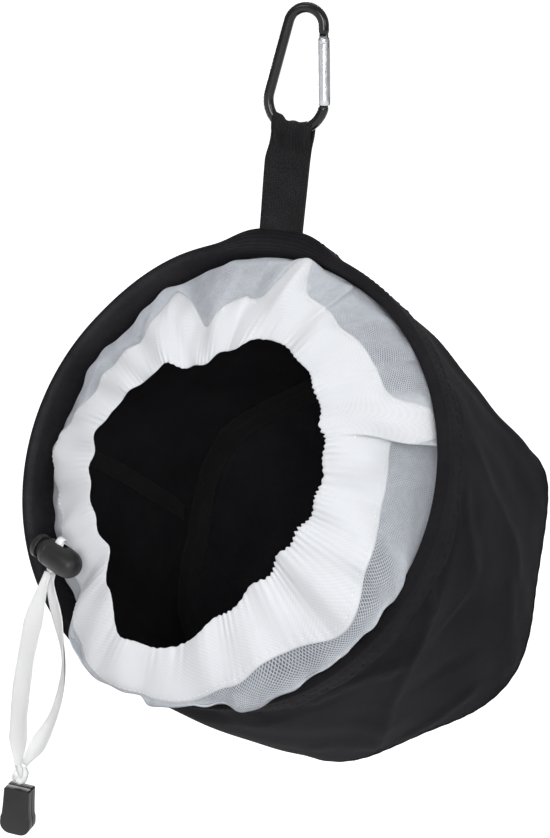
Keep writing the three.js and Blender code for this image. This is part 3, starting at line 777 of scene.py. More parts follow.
rod = joinPieces("hookRod", [
    hookRod(),
    tangPiece("topTang", hook["tang"], hook["tangBelow"]),
    tangPiece("noseTang", hook["noseTang"], gateRun + hook["noseTangBelow"] + hook["nose"]),
])
dress(leanHook(rod), "carabiner", "carabiner_frame")
dress(leanHook(gatePiece()), "gate", "carabiner_gate")
dress(leanHook(rivetPiece()), "carabiner", "carabiner_rivet")
print("snap hook made")


# threads and stitches that follow lines
def startTree(name, sizes):
    tree = bpy.data.node_groups.new(name, "GeometryNodeTree")
    sockets = [("Geometry", "INPUT", "NodeSocketGeometry")]
    sockets += [(size, "INPUT", "NodeSocketFloat") for size in sizes]
    sockets += [("Finish", "INPUT", "NodeSocketMaterial"), ("Geometry", "OUTPUT", "NodeSocketGeometry")]
    for label, way, kind in sockets:
        tree.interface.new_socket(label, in_out=way, socket_type=kind)
    given = tree.nodes.new("NodeGroupInput").outputs
    line = addNode(tree, "GeometryNodeMeshToCurve", {"Mesh": given["Geometry"]})
    return tree, given, line.outputs[0]


def endTree(tree, given, grown):
    made = addNode(tree, "GeometryNodeRealizeInstances", {"Geometry": grown})
    soft = addNode(tree, "GeometryNodeSetShadeSmooth", {"Geometry": made.outputs[0]})
    dressed = addNode(tree, "GeometryNodeSetMaterial", {
        "Geometry": soft.outputs[0], "Material": given["Finish"],
    })
    addNode(tree, "NodeGroupOutput", {0: dressed.outputs[0]})
    return tree


def stitchTree():
    # short thread grains, spaced along the line
    tree, given, line = startTree("stitchRow", ("Pitch", "Length", "Thread"))
    spacing = {"Curve": line, "Length": given["Pitch"]}
    spaced = addNode(tree, "GeometryNodeResampleCurve", spacing, mode="LENGTH")
    heading = tree.nodes.new("GeometryNodeInputTangent")
    aligned = addNode(tree, "FunctionNodeAlignRotationToVector", {"Vector": heading.outputs[0]}, axis="X")
    grain = addNode(tree, "GeometryNodeMeshUVSphere", {"Segments": 6, "Rings": 4, "Radius": 0.5})
    thick = given["Thread"]
    size = addNode(tree, "ShaderNodeCombineXYZ", {"X": given["Length"], "Y": thick, "Z": thick})
    placed = addNode(tree, "GeometryNodeInstanceOnPoints", {
        "Points": spaced.outputs[0], "Instance": grain.outputs[0],
        "Rotation": aligned.outputs[0], "Scale": size.outputs[0],
    })
    return endTree(tree, given, placed.outputs[0])


def netTree():
    # a thin tube along each line
    tree, given, line = startTree("netThreads", ("Thread",))
    circle = addNode(tree, "GeometryNodeCurvePrimitiveCircle", {"Resolution": 3, "Radius": given["Thread"]})
    tube = addNode(tree, "GeometryNodeCurveToMesh", {
        "Curve": line, "Profile Curve": circle.outputs[0], "Fill Caps": True,
    })
    return endTree(tree, given, tube.outputs[0])


def growThreads(name, lines, closed, tree, inputs):
    edges = []
    start = 0
    for line in lines:
        count = len(line)
        edges += [(start + k, start + k + 1) for k in range(count - 1)]
        if closed:
            edges.append((start + count - 1, start))
        start += count
    mesh = bpy.data.meshes.new(name)
    mesh.from_pydata((np.vstack(lines) * mm).tolist(), edges, [])
    piece = addObject(name, mesh)
    grown = piece.modifiers.new("threads", "NODES")
    grown.node_group = tree
    for socket in tree.interface.items_tree:
        if socket.in_out == "INPUT" and socket.name in inputs:
            grown[socket.identifier] = inputs[socket.name]
    return settle(piece)


stitchSizes = {"share": 0.74, "thread": 0.42}
stitchRow = stitchTree()
netThreads = netTree()


def stitches(name, lines, finish, pitch, closed=False):
    return growThreads(name, lines, closed, stitchRow, {
        "Pitch": pitch * mm, "Length": pitch * stitchSizes["share"] * mm,
        "Thread": stitchSizes["thread"] * mm, "Finish": finish,
    })


# webbing loop on the hook's lower bow
tag = {
    "width": 20, "ply": 1.5, "apart": 0.8, "eye": -50.4, "waist": -59.7, "foot": -95.35,
    "eyeAcross": 3.5, "eyeUp": 3.5, "narrow": 0.2, "rise": 3.4, "riseRight": 0.8, "crumple": 0.7,
    "crumplePitch": 0.95, "crumpleStart": 0.6, "crumpleUp": 0.4, "aside": -2.4, "turnLow": 0.35,
    "sewnBelow": (5, 7.2), "sewnHalf": 8, "stitch": 2.2, "proud": 0.08,
}


def tagPlace(x, y, z):
    # the loop is pulled up the round bow on its left and turns toward the bag below it
    onBar = smooth(tag["eye"] - 14, tag["eye"] - 4, z)
    crumple = np.sin(x * tag["crumplePitch"] + tag["crumpleStart"]) * np.sign(y + 1e-9)
    crumple = tag["crumple"] * onBar * crumple
    rise = tag["rise"] * smooth(-1, -10, x) + tag["riseRight"] * smooth(4, 10, x)
    turned = tag["turnLow"] + (1 - tag["turnLow"]) * smooth(tag["foot"], tag["waist"], z)
    turn = math.radians(hook["facing"]) * turned
    x = x * (1 - tag["narrow"] * onBar * smooth(0, -8, x)) + tag["aside"]
    z = z + onBar * rise + tag["crumpleUp"] * crumple
    y = y + crumple
    return stacked(x * np.cos(turn) - y * np.sin(turn), x * np.sin(turn) + y * np.cos(turn), z)


def tagLoop():
    half = tag["apart"]
    wide = tag["eyeAcross"]
    eye = tag["eye"]
    waist = tag["waist"]
    leg = stacked(-half, np.linspace(tag["foot"], waist, 28))
    bend = np.array([(-half, waist), (-half, waist + 4), (-wide, eye - 5), (-wide, eye)])
    side = alongCubic(bend, np.linspace(0, 1, 14)[:, None])
    turn = np.linspace(0, np.pi, 19)
    top = stacked(-wide * np.cos(turn), eye + tag["eyeUp"] * np.sin(turn))
    mirror = np.array([-1, 1])
    line = np.vstack([leg, side[1:], top[1:-1], (side * mirror)[:0:-1], (leg * mirror)[::-1]])
    x = np.linspace(-tag["width"] / 2, tag["width"] / 2, 27)
    return thicken(gridPiece("hangTag", tagPlace(x, line[:, 0:1], line[:, 1:2]), blackWebbing), tag["ply"])


hangTag = tagLoop()
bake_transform(hangTag)
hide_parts("hang_loop")
tagFront = -tag["apart"] - tag["ply"] / 2 - tag["proud"]
sewnAcross = np.linspace(-tag["sewnHalf"], tag["sewnHalf"], 16)
tagLines = [tagPlace(sewnAcross, tagFront, tag["waist"] - below) for below in tag["sewnBelow"]]
tagLines += [line + 2 * abs(tagFront) * hookThrough for line in tagLines]
dress(stitches("tagStitches", tagLines, blackThread, tag["stitch"]), "strap")

# webbing tail sewn on the hem, which it pulls up into a peak
hem = {
    "hoop": 100, "wire": 3, "fold": 2.3, "cloth": 0.95, "deep": 19, "columns": 708,
    "peak": 5.7, "peakAt": 94, "peakSpan": 13, "peakRadius": 104, "tailRadius": 103,
    "pucker": 0.28, "puckers": (118, 1.4, 9), "puckerIn": 0.3, "puckerDepth": -14, "puckerSpan": 4.5,
    # the last two settings on the next line paint fill light on the hem's inside: how strong, and its angle
    # and span
    "ripple": 0.35, "innerRipple": 0.4, "tuck": 0.55, "sag": 0.5, "wearAndPaintedLight": 1.7, "paintedLightAt": (165, 70),
    "sewn": -14.2, "sewnTop": -4.6, "stitch": 3.1,
    "tail": [(109.35, -0.2), (108.4, -1.6), (107.75, -4.5), (107.5, -10), (107.4, -16)],  # y and depth
}


def hemPeak(angle):
    return hem["peak"] * np.exp(-((turnFrom(angle, hem["peakAt"]) / hem["peakSpan"]) ** 4))


def tagTail():
    line = curveThrough(hem["tail"], 22)
    x = np.linspace(-tag["width"] / 2, tag["width"] / 2, 21) - bag["aside"] + tag["aside"]
    spot = np.degrees(np.arctan2(hem["peakRadius"], x))
    free = smooth(-4.5, -0.2, line[:, 1:2])
    lower = hemPeak(spot) - hem["peak"] - x**2 / (2 * hem["tailRadius"])  # follows the round hem
    grid = stacked(x, line[:, 0:1] + (1 - free) * lower, line[:, 1:2])
    return thicken(gridPiece("tagTail", fromBag(grid), blackWebbing), tag["ply"])


dress(tagTail(), "bag", "hang_loop_anchor")
print("webbing made")


# hem folded over the wire hoop
def hemLine():
    down = np.linspace(-hem["deep"], 0, 12)
    turn = np.linspace(0, np.pi, 13)[1:-1]
    over = hem["fold"] * stacked(np.cos(turn), np.sin(turn))
    return np.vstack([stacked(hem["fold"], down), over, stacked(-hem["fold"], down[::-1])])


def hemShape(angle, line):
    away = line[:, 0:1]
    z = line[:, 1:2]
    outside = smooth(-2, 2, away)
    sewn = np.exp(-(((z - hem["puckerDepth"]) / hem["puckerSpan"]) ** 2))
    pucker = hem["pucker"] * sewn * (gathers(angle, *hem["puckers"]) - hem["puckerIn"])
    ripple = hem["ripple"] * smooth(-2, -14, z) * (wave(angle, 13, 0.8) + 0.6 * wave(angle, 29, 2.0))
    tucked = hem["tuck"] * outside * smooth(-8, -hem["deep"], z)
    ripple = ripple * (hem["innerRipple"] + (1 - hem["innerRipple"]) * outside)
    radius = hem["hoop"] + away - tucked + np.sign(away) * pucker + ripple + outside * hemPeak(angle)
    low = smooth(-10, -hem["deep"], z)
    z = z - low * hem["sag"] * (1 + wave(angle, 7, 1.1) + 0.5 * wave(angle, 17, 0.3))
    return radius, z


def hemRow(away, z):
    angle = ringAngles(720)
    radius, depth = hemShape(angle, np.array([[away, z]]))
    return fromBag(ringPoint(angle, radius + np.sign(away) * (hem["cloth"] / 2 + 0.05), depth))[0]


hemAngles = ringAngles(hem["columns"])
hemGrid = fromBag(ringPoint(hemAngles, *hemShape(hemAngles, hemLine())))
hemPaintedLight = smooth(1, -1, hemLine()[:, 0:1]) * hem["wearAndPaintedLight"]  # painted light: a paler tone on the inside face, on the left, where it lies in shade
hemPaintedLight = hemPaintedLight * near(hemAngles, *hem["paintedLightAt"])
rimHem = thicken(gridPiece("rimHem", hemGrid, blackCloth, around=True, wearAndPaintedLight=hemPaintedLight), hem["cloth"])
dress(rimHem, "bag", "rim_hem")
hemRows = [hemRow(side * hem["fold"], hem["sewn"]) for side in (1, -1)]
hemRows.append(hemRow(hem["fold"], hem["sewnTop"]))
dress(stitches("hemStitches", hemRows, blackThread, hem["stitch"], closed=True), "bag")
wireAway, wireUp = roundSection(hem["wire"] / 2, 12).T[..., None]
wireGrid = fromBag(ringPoint(ringAngles(240), hem["hoop"] + wireAway, wireUp))
rimHoop = gridPiece("rimHoop", wireGrid, steelWire, around=True, across=True, solid=True)
dress(rimHoop, "bag", "rim_hoop")
print("hem made")

# side wall: a hanging tube with folds, pulled to corners at the base
wall = {
    "radius": 100.8, "cloth": 1.2, "from": -8, "to": -160.9, "hem": 19, "run": 143,
    "columns": 400, "rows": 104, "swell": 2, "fold": 1.2, "belly": 6.5, "bellyAt": (265, 45),
    "hollow": 3.5, "hollowAt": (45, 25), "ripple": 0.42,
    "lobe": 3.6, "lobeAt": 38.6, "corner": 3, "cornerSpan": 9, "sag": 12.6,
    # the last setting on the next line is the width of the pale line along crease tops: wear with a painted
    # highlight
    "sewn": 0.1, "sewnGathers": (84, 1.6, 11), "rubbedAndPaintedLight": 1.5,
    "under": 0.22, "underGathers": (61, 1.2, 7), "underDepth": -24, "underSpan": 7,
}
longCrease = [(4, -14), (351, -17), (329, -45), (316, -77), (293.5, -158)]
wallCreases = [  # route as angle and depth, height, width
    (longCrease, 1.7, 3),
    (longCrease, 2.6, 13),
    ([(329, -45), (321.5, -29), (313, -24), (302, -23)], 1.6, 6),
    ([(28, -29), (21, -52), (15, -79), (7.5, -109), (-0.5, -127)], 1.6, 6),
    ([(15, -22), (5, -33), (354, -62)], 1.3, 5),
    ([(334, -131), (318.6, -143), (303, -157)], 1.5, 5),
    ([(346, -54), (337, -84), (330, -100)], -2.2, 13),
    ([(38.6, -160), (46, -118), (58, -70), (64, -40)], 1.8, 7),
    ([(341, -160), (350, -124), (2, -100)], 1.4, 7),
    ([(282, -160), (284, -122), (291, -95)], 1.3, 7),
    ([(98.6, -160), (104, -112), (96, -64)], 1.8, 8),
    ([(158.6, -160), (150, -105), (160, -52)], 2.0, 8),
    ([(218.6, -160), (226, -120), (214, -72)], 1.8, 8),
    ([(128, -30), (138, -70), (133, -115)], 1.5, 6),
    ([(190, -28), (182, -62), (196, -98)], 1.4, 6),
    ([(246, -34), (238, -76), (248, -110)], 1.5, 6),
    ([(78, -26), (74, -60), (84, -96)], 1.4, 6),
]
# these creases get a pale line along their tops: wear with a painted highlight
creasesWithWearAndPaintedHighlight = wallCreases[1:6]
rippleModes = [
    (int(chance.integers(4, 26)), chance.uniform(-0.12, 0.12), chance.uniform(0, 6.28)) for _ in range(14)
]


def creaseHeight(angle, z, route, height, width):
    # a ridge along the route that fades at both ends
    route = np.array(route, float)
    scale = np.radians(wall["radius"])
    across = turnFrom(angle, route[0, 0]) * scale
    turns = turnFrom(route[:, 0], route[0, 0]) * scale
    depths = route[:, 1]
    nearest = np.full(np.broadcast(across, z).shape, np.inf)
    along = np.zeros_like(nearest)
    run = np.concatenate([[0], np.cumsum(np.hypot(np.diff(turns), np.diff(depths)))])
    for k in range(len(route) - 1):
        dx = turns[k + 1] - turns[k]
        dz = depths[k + 1] - depths[k]
        share = np.clip(((across - turns[k]) * dx + (z - depths[k]) * dz) / (dx * dx + dz * dz), 0, 1)
        away = np.hypot(across - turns[k] - share * dx, z - depths[k] - share * dz)
        closer = away < nearest
        nearest = np.where(closer, away, nearest)
        along = np.where(closer, (run[k] + share * (run[k + 1] - run[k])) / run[-1], along)
    taper = smooth(-0.02, 0.18, along) * smooth(1.05, 0.8, along)
    return height * taper * np.exp(-((nearest / width) ** 2))


def ripples(angle, z):
    turn = np.radians(angle)
    total = sum(np.sin(turn * count + slope * z + phase) for count, slope, phase in rippleModes)
    return total / len(rippleModes) ** 0.5


def wallShape(angle, z, inset=0.0):
    along = np.clip((-z - wall["hem"]) / wall["run"], 0, 1)
    fold = wall["swell"] + wall["fold"] * wave(angle, 5, 0.6)
    hollow = wall["hollow"] * near(angle, *wall["hollowAt"])
    low = np.sin(np.pi * along**0.6) * smooth(0.02, 0.15, along)
    belly = low * wall["belly"] * near(angle, *wall["bellyAt"])
    lobe = wall["lobe"] * wave(angle - wall["lobeAt"], 6)
    lobe = lobe + wall["corner"] * near(angle, wall["lobeAt"], wall["cornerSpan"])
    radius = wall["radius"] + np.sin(np.pi * along) * (fold - hollow) + belly + along**2 * lobe
    below = smooth(-wall["hem"] + 1, -wall["hem"] - 9, z)
    creases = sum(creaseHeight(angle, z, *crease) for crease in wallCreases)
    held = below * smooth(-163, -150, z) * wall["ripple"] * ripples(angle, z)
    sewn = wall["sewn"] * gathers(angle, *wall["sewnGathers"]) * smooth(-140, -160, z)
    underHem = np.exp(-(((z - wall["underDepth"]) / wall["underSpan"]) ** 2))
    under = wall["under"] * gathers(angle, *wall["underGathers"]) * underHem
    return radius + below * creases + held + sewn + under - inset, z, wall["sag"] * along**2


wallAngles = ringAngles(wall["columns"])
wallRows = np.linspace(wall["from"], wall["to"], wall["rows"])[:, None]
wallGrid = fromBag(ringPoint(wallAngles, *wallShape(wallAngles, wallRows)))
# pale tone along crease tops, partly wear and partly a painted highlight
wallWearAndPaintedHighlight = sum(creaseHeight(wallAngles, wallRows, crease[0], 1, wall["rubbedAndPaintedLight"]) for crease in creasesWithWearAndPaintedHighlight)
sideWall = gridPiece("sideWall", wallGrid, blackCloth, around=True, wearAndPaintedLight=np.clip(wallWearAndPaintedHighlight, 0, 1))
sideWall = thicken(sideWall, wall["cloth"])
dress(sideWall, "bag", "side_wall")
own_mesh(sideWall)

# taped seam down the inside of the wall
seam = {
    "at": 183.75, "half": 4.5, "tape": 0.8, "lift": 0.75, "from": -22, "to": -146,
    "sewnHalf": 3.3, "sewnLift": 1.2, "stitch": 3.0,
}


def seamGrid(across, lift):
    z = np.linspace(seam["from"], seam["to"], 60)[:, None]
    angle = seam["at"] + np.degrees(across / wall["radius"])
    return fromBag(ringPoint(angle, *wallShape(angle, z, wall["cloth"] / 2 + lift)))


seamAcross = np.linspace(-seam["half"], seam["half"], 11)
seamTape = thicken(gridPiece("seamTape", seamGrid(seamAcross, seam["lift"]), bindingTape), seam["tape"])
sewnAt = np.array([-seam["sewnHalf"], seam["sewnHalf"]])
seamLines = list(seamGrid(sewnAt, seam["sewnLift"]).transpose(1, 0, 2))
seamStitches = stitches("seamStitches", seamLines, blackThread, seam["stitch"])
for piece in (seamTape, seamStitches):
    dress(piece, "bag")
    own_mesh(piece)
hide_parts("side_seam")
print("wall made")

# base: round panel, piped edge and a bound seam inside
base = {
    "depth": -161.4, "cloth": 1.3, "puff": 2.2, "wrinkle": 0.55, "pucker": 0.5, "puckers": (60, 1.5, 7),
    "welt": 0.95, "weltOut": 0.15, "weltUp": 0.3, "sewnIn": 3.4, "sewnUnder": 0.18, "stitch": 3.2,
    "binding": 9, "tape": 0.9, "bindingOff": 1.4, "bindingUp": 0.75, "bindingCorner": (1.4, 2.2),
}
panelModes = [(*chance.uniform(-0.14, 0.14, 2), chance.uniform(0, 6.28)) for _ in range(12)]


def baseEdge(angle):
    radius, _, drop = wallShape(angle, np.full_like(angle, wall["to"]))
    return radius, drop


def basePanel():
    angle = ringAngles(240)
    share = np.linspace(0, 1, 44)[:, None]
    edge, drop = baseEdge(angle)
    x, y = np.moveaxis(ringPoint(angle, share * edge, 0 * share)[..., :2], -1, 0)
    wrinkle = sum(np.sin(x * a + y * b + c) for a, b, c in panelModes) / len(panelModes) ** 0.5
    pucker = base["pucker"] * gathers(angle, *base["puckers"]) * share**9
    rough = (base["wrinkle"] * wrinkle + pucker) * smooth(1, 0.96, share)
    grid = ringPoint(angle, share * edge, base["depth"] - base["puff"] * (1 - share**2) + rough, drop)
    piece = gridPiece("basePanel", fromBag(grid), blackCloth, around=True, solid=True)
    return thicken(piece, base["cloth"])


def weltPiece():
    angle = ringAngles(360)
    edge, drop = baseEdge(angle)
    path = fromBag(ringPoint(angle, edge + base["weltOut"], base["depth"] + base["weltUp"], drop))
    frames = ridingFrames(path, bagAxes[2], ring=True)
    return sweepPiece("baseWelt", path, frames, roundSection(base["welt"], 10), blackCloth, ring=True)


def bindingPiece():
    # up the wall, then in over the panel
    angle = ringAngles(240)
    up, inward = base["bindingCorner"]
    rows = []
    for rise in np.linspace(base["binding"], up, 6):
        z = np.full_like(angle, wall["to"] + rise)
        rows.append(ringPoint(angle, *wallShape(angle, z, wall["cloth"] / 2 + base["bindingOff"])))
    edge, drop = baseEdge(angle)
    above = base["depth"] + base["cloth"] / 2 + base["bindingUp"]
    for inset in np.linspace(inward, base["binding"] + 1, 6):
        rows.append(ringPoint(angle, edge - inset, above, drop))
    piece = gridPiece("baseBinding", fromBag(np.array(rows)), bindingTape, around=True)
    return thicken(piece, base["tape"])


def baseSeam():
    angle = ringAngles(720)
    edge, drop = baseEdge(angle)
    below = base["depth"] - base["cloth"] / 2 - base["sewnUnder"]
    line = ringPoint(angle, edge - base["sewnIn"], below, drop)
    return stitches("baseStitches", [fromBag(line)], blackThread, base["stitch"], closed=True)


panel = basePanel()
dress(panel, "base", "base_panel")
dress(weltPiece(), "base")
binding = bindingPiece()
dress(binding, "base", "base_binding")
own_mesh(binding)
dress(baseSeam(), "base")
print("base made")

# net collar: a soft funnel from the hem to the drawstring casing round its mouth
collar = {
    "mouth": 57, "forward": 17, "dent": 8, "dentAt": (228, 24),
    "sewn": (96.3, -19.6), "rising": (93.8, -6), "bulge": 27, "backset": 9, "casingFrom": 0.62,
    "overFrom": (232, 248), "overTo": (336, 364), "overReach": 103, "overRising": 88, "overMouth": (62, 80),
    "overShares": (0.0911, 0.3341, 0.4084, 0.1664),  # a cubic's weights where the flap reaches furthest
    "overLift": 8, "overForward": 4, "hangLift": 24, "hangForward": 1, "casingOver": (0.2, 0.1),
    "high": 16, "highAt": (86, 32), "highRising": 9, "columns": 400, "rows": 80, "thread": 0.25,
    "overlap": 0.04, "veilOverlap": 0.03, "veilLift": -0.7,
    "layers": 2, "layersAt": (165, 42), "layerTurns": 1.6, "layerStart": 0.1,
    "held": 0.92, "lump": 0.95, "sunk": 1.5,
    "small": [(0.5, 31, 0, 5), (0.4, 47, 1, -7)],
    "lumps": [(1, 9, 0.5, 5), (0.8, 16, 2, -6), (0.6, 27, 1, 9)],
}
mouthOutline = np.array([  # angle, share of the mouth's radius
    (0, 1), (30, 1), (57, 1.06), (77, 1.08), (92, 0.9), (112, 0.78), (138, 0.88), (165, 0.95), (190, 1.03),
    (228, 1.07), (245, 1.23), (262, 1.46), (278, 1.42), (296, 1.2), (312, 1.06), (335, 0.99), (360, 1),
])
casingReach = [  # angle, span, how far the doubled net reaches past its usual edge
    (84, 4, 0.42), (126, 6.5, 0.34), (111, 6, -0.15), (30.5, 5, 0.42), (60, 6, -0.05), (154, 24, -0.12),
    (170, 6, -0.04), (196, 8, 0.08), (330, 9, 0.08),
]
collarFolds = [  # angle, short side, long side, height, lean over the short side
    (25.5, 1.6, 24, 8.5, 5.5), (84, 4.5, 7, 7.5, 1.0), (57, 7, 9, 2.2, 0), (108, 6, 8, 4.2, 1.5),
    (132, 6, 9, 4.6, 2), (158, 6, 9, 3.6, 1.5), (186, 7, 7, 3.0, 0), (345, 4, 11, 3.4, 1.5),
    (300, 4, 8, 3.8, 1.5), (276, 3.5, 7, 3.4, 1.5), (256, 5, 6, 2.4, 0), (226, 6, 6, 2.0, 0),
    (47, 1.2, 4, 2.2, 1.2), (71, 1.2, 4, 2.2, 1.2), (98, 1.2, 4, 2.0, 1.2),
]


def mouthRadius(angle):
    turn = np.asarray(angle, float) % 360
    at, share = mouthOutline.T
    k = np.clip(np.searchsorted(at, turn, side="right") - 1, 0, len(at) - 2)
    eased = (turn - at[k]) / (at[k + 1] - at[k])
    eased = eased * eased * (3 - 2 * eased)
    return collar["mouth"] * (share[k] + (share[k + 1] - share[k]) * eased)


def hangsOver(angle):
    # where the collar hangs out over the rim
    turn = np.asarray(angle, float) % 360
    turn = np.where(turn < 180, turn + 360, turn)
    return smooth(*collar["overFrom"], turn) * (1 - smooth(*collar["overTo"], turn))


def casingFrom(angle):
    further, less = collar["casingOver"]
    further = further - less * smooth(*collar["overMouth"], mouthRadius(angle))
    usual = collar["casingFrom"] + hangsOver(angle) * further
    return usual - sum(reach * near(angle, at, span) for at, span, reach in casingReach)


def collarFold(angle):
    lift = 0
    lean = 0
    for centre, short, wide, height, over in collarFolds:
        away = turnFrom(angle, centre)
        shape = np.exp(-((away / np.where(away < 0, short, wide)) ** 2))
        lift = lift + height * shape
        lean = lean + over * shape
    return lift, lean


def funnel(angle, share):
    # the collar's middle surface, share 0 under the hem and 1 at the mouth, and the way it faces
    mouth = mouthRadius(angle)
    front = collar["forward"] - collar["dent"] * near(angle, *collar["dentAt"])
    over = smooth(*collar["overMouth"], mouth)
    hang = hangsOver(angle)
    high = near(angle, *collar["highAt"])
    sewn, sewnDepth = collar["sewn"]
    rising, risingDepth = collar["rising"]
    first, second, third, last = collar["overShares"]
    reach = (collar["overReach"] - first * sewn - second * collar["overRising"] - last * mouth) / third
    radii = (
        sewn,
        rising + hang * (collar["overRising"] - rising),
        (1 - hang) * (mouth + collar["bulge"]) + hang * reach,
        mouth,
    )
    inside = (1 - hang) * over
    depths = (
        sewnDepth + collar["high"] * high,
        risingDepth + collar["highRising"] * high + collar["overLift"] * inside + collar["hangLift"] * hang,
        front - collar["backset"] + collar["overForward"] * inside + collar["hangForward"] * hang,
        front,
    )
    rest = 1 - share
    slopes = (-3 * rest**2, 3 * rest**2 - 6 * rest * share, 6 * rest * share - 3 * share**2, 3 * share**2)
    inward = sum(slope * radius for slope, radius in zip(slopes, radii))
    forward = sum(slope * depth for slope, depth in zip(slopes, depths))
    size = np.hypot(inward, forward)
    return alongCubic(radii, share), alongCubic(depths, share), forward / size, -inward / size


def collarPlace(angle, share, lift=0.0):
    # folds run from the hem into the casing and lean over; soft lumps fill the casing
    angle, share = np.broadcast_arrays(np.asarray(angle, float), np.asarray(share, float))
    radius, depth, faceOut, faceUp = funnel(angle, share)
    loose = smooth(0, 0.3, share) * (1 - collar["held"] * smooth(0.5, 0.95, share))
    fold, lean = collarFold(angle)
    layers = collar["layers"] * near(angle, *collar["layersAt"])
    layers = layers * np.sin(2 * np.pi * (collar["layerTurns"] * share + collar["layerStart"]))
    lump = collar["lump"] * waves(angle, collar["lumps"], share) * smooth(0.5, 0.72, share)
    away = lift + loose * (fold - collar["sunk"] + layers + waves(angle, collar["small"], share)) + lump
    out = radius + faceOut * away
    up = depth + faceUp * away
    under = (1 - hangsOver(angle)) * smooth(4, 1, up)  # stays inside the hem
    out = out - under * np.maximum(out - collar["sewn"][0], 0)
    return ringPoint(angle - lean * loose, out, up)


def netHalf(name, columns):
    # two families of diagonal threads make the lattice
    share = np.linspace(0, 1, collar["rows"] + 1)[:, None]
    step = np.arange(collar["rows"] + 1)[:, None] / 2
    lines = []
    for lean in (1, -1):
        angle = (columns[None, :] + lean * step) * 360 / collar["columns"]
        grid = collarPlace(angle, share * (casingFrom(angle) + collar["overlap"]))
        lines += list(fromBag(grid).transpose(1, 0, 2))
    inputs = {"Thread": collar["thread"] * mm, "Finish": netThread}
    return growThreads(name, lines, False, netThreads, inputs)


netColumns = np.split(np.arange(collar["columns"]), 2)
for name, columns in zip(("netCollarUpper", "netCollarLower"), netColumns):
    net = netHalf(name, columns)
    dress(net, "bag", "mesh_collar")
    print("net made:", name, len(net.data.polygons), "faces")


def netVeil():
    # the finest mesh, between the threads
    angle = ringAngles(400)
    share = np.linspace(0, 1, 41)[:, None]
    grid = collarPlace(angle, share * (casingFrom(angle) + collar["veilOverlap"]), collar["veilLift"])
    return gridPiece("netVeil", fromBag(grid), netHaze, around=True)


veil = netVeil()
dress(veil, "bag", "mesh_collar")

casing = {
    "pleats": 146, "pleat": 0.22, "pleatBehind": 0.6, "seamHalf": 0.4, "puff": 1.1, "columns": 1168,
    "sharpAt": (24, 5), "pressed": 0.85, "lip": 0.8, "sewn": 0.12, "sewnSpan": 0.08, "stitch": 2.3,
    "flattest": 0.14, "sewnGather": 0.4, "usual": 0.45, "fuller": 0.6, "fullerAt": (0, 50),
    "deep": 26, "scallopPleat": 0.22,
    "wander": [(1.9, 7, 1, 0), (1.3, 13, 2.1, 0), (0.8, 29, 0, 0)],
    "spread": [(1.6, 5, 2, 0), (1.1, 19, 0, 0)],
    "uneven": [(0.35, 17, 0.7, 0), (0.25, 41, 1.3, 0)],
    "scallop": [(0.5, 23, 1.9, 0)],
}


def casingPlace(angle, share, layer):
    # share 0 at the sewn edge, 1 at the mouth; layer 1 in front, -1 behind
    wander = waves(angle, casing["wander"]) + waves(angle, casing["spread"]) * share
    pleat = wave(angle, casing["pleats"], wander)
    fuller = casing["fuller"] * near(angle, *casing["fullerAt"])
    some = casing["usual"] + waves(angle, casing["uneven"]) + fuller
    gathered = casing["flattest"] + (1 - casing["flattest"]) * share**4
    atSeam = np.exp(-(((share - casing["sewn"]) / casing["sewnSpan"]) ** 2))
    gathered = gathered + casing["sewnGather"] * atSeam
    half = casing["seamHalf"] + casing["puff"] * np.sin(np.pi * np.clip(share, 0, 1)) ** 0.7
    pleatSize = casing["pleat"] * (1 if layer > 0 else casing["pleatBehind"])
    lift = layer * half + pleatSize * some * gathered * pleat
    thin = near(angle, *casing["sharpAt"]) * smooth(0.9, 0.6, share)
    lift = lift * (1 - casing["pressed"] * thin)  # pressed flat in the sharp fold
    start = casingFrom(angle)
    scallop = waves(angle, casing["scallop"]) + casing["scallopPleat"] * some * pleat
    scallop = scallop * smooth(0.75, 1, share) * (1 - start) / casing["deep"]
    return collarPlace(angle, start + (1 - start) * share + scallop, lift)


def casingPiece():
    angle = ringAngles(casing["columns"])
    front = [casingPlace(angle, share, 1) for share in np.concatenate([[0.0], np.linspace(0.04, 1, 20)])]
    back = [casingPlace(angle, share, -1) for share in np.linspace(1, 0, 10)]
    ahead = unit(front[-1] - front[-2])
    lip = []
    for turn in np.linspace(0, np.pi, 5)[1:-1]:
        blend = (1 - np.cos(turn)) / 2
        lip.append((1 - blend) * front[-1] + blend * back[0] + casing["lip"] * np.sin(turn) * ahead)
    grid = fromBag(np.array(front + lip + back))
    return gridPiece("netCasing", grid, gatheredNet, around=True, across=True, solid=True)


def drawRibbon():
    angle = ringAngles(300)
    rows = [collarPlace(angle, share) for share in np.linspace(0.84, 0.96, 7)]
    piece = gridPiece("drawRibbon", fromBag(np.array(rows)), whiteRibbon, around=True)
    return thicken(piece, ribbon["thickness"])


netCasing = casingPiece()
dress(netCasing, "bag", "drawstring_casing")
casingLine = fromBag(casingPlace(ringAngles(900), casing["sewn"], 1))
casingStitches = stitches("casingStitches", [casingLine], whiteThread, casing["stitch"], closed=True)
dress(casingStitches, "bag")
drawstring = drawRibbon()
dress(drawstring, "bag", "drawstring_loop")
print("casing made:", len(netCasing.data.polygons), "faces")

# ribbon from the casing through the cord lock, folded on itself
leadFold = np.array([
    (-1.7, -0.9), (1.5, -0.8), (1.75, -0.5), (1.5, -0.25), (-1.4, 0.0), (-1.7, 0.2),
    (-1.4, 0.45), (1.5, 0.55), (1.75, 0.8), (1.4, 1.0), (-1.6, 1.05),
])


def ribbonLead():
    route = list(fromBag(ribbon["leadFrom"]))
    route += [lockPlace + lockDown * drop for drop in ribbon["leadDrops"]]
    path = curveThrough(route, 60)
    grid = sweepGrid(path, ridingFrames(path, lockAxis), leadFold)
    return thicken(gridPiece("ribbonLead", grid, whiteRibbon), 0.32)


lead = ribbonLead()
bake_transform(lead)
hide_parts("ribbon_lead")

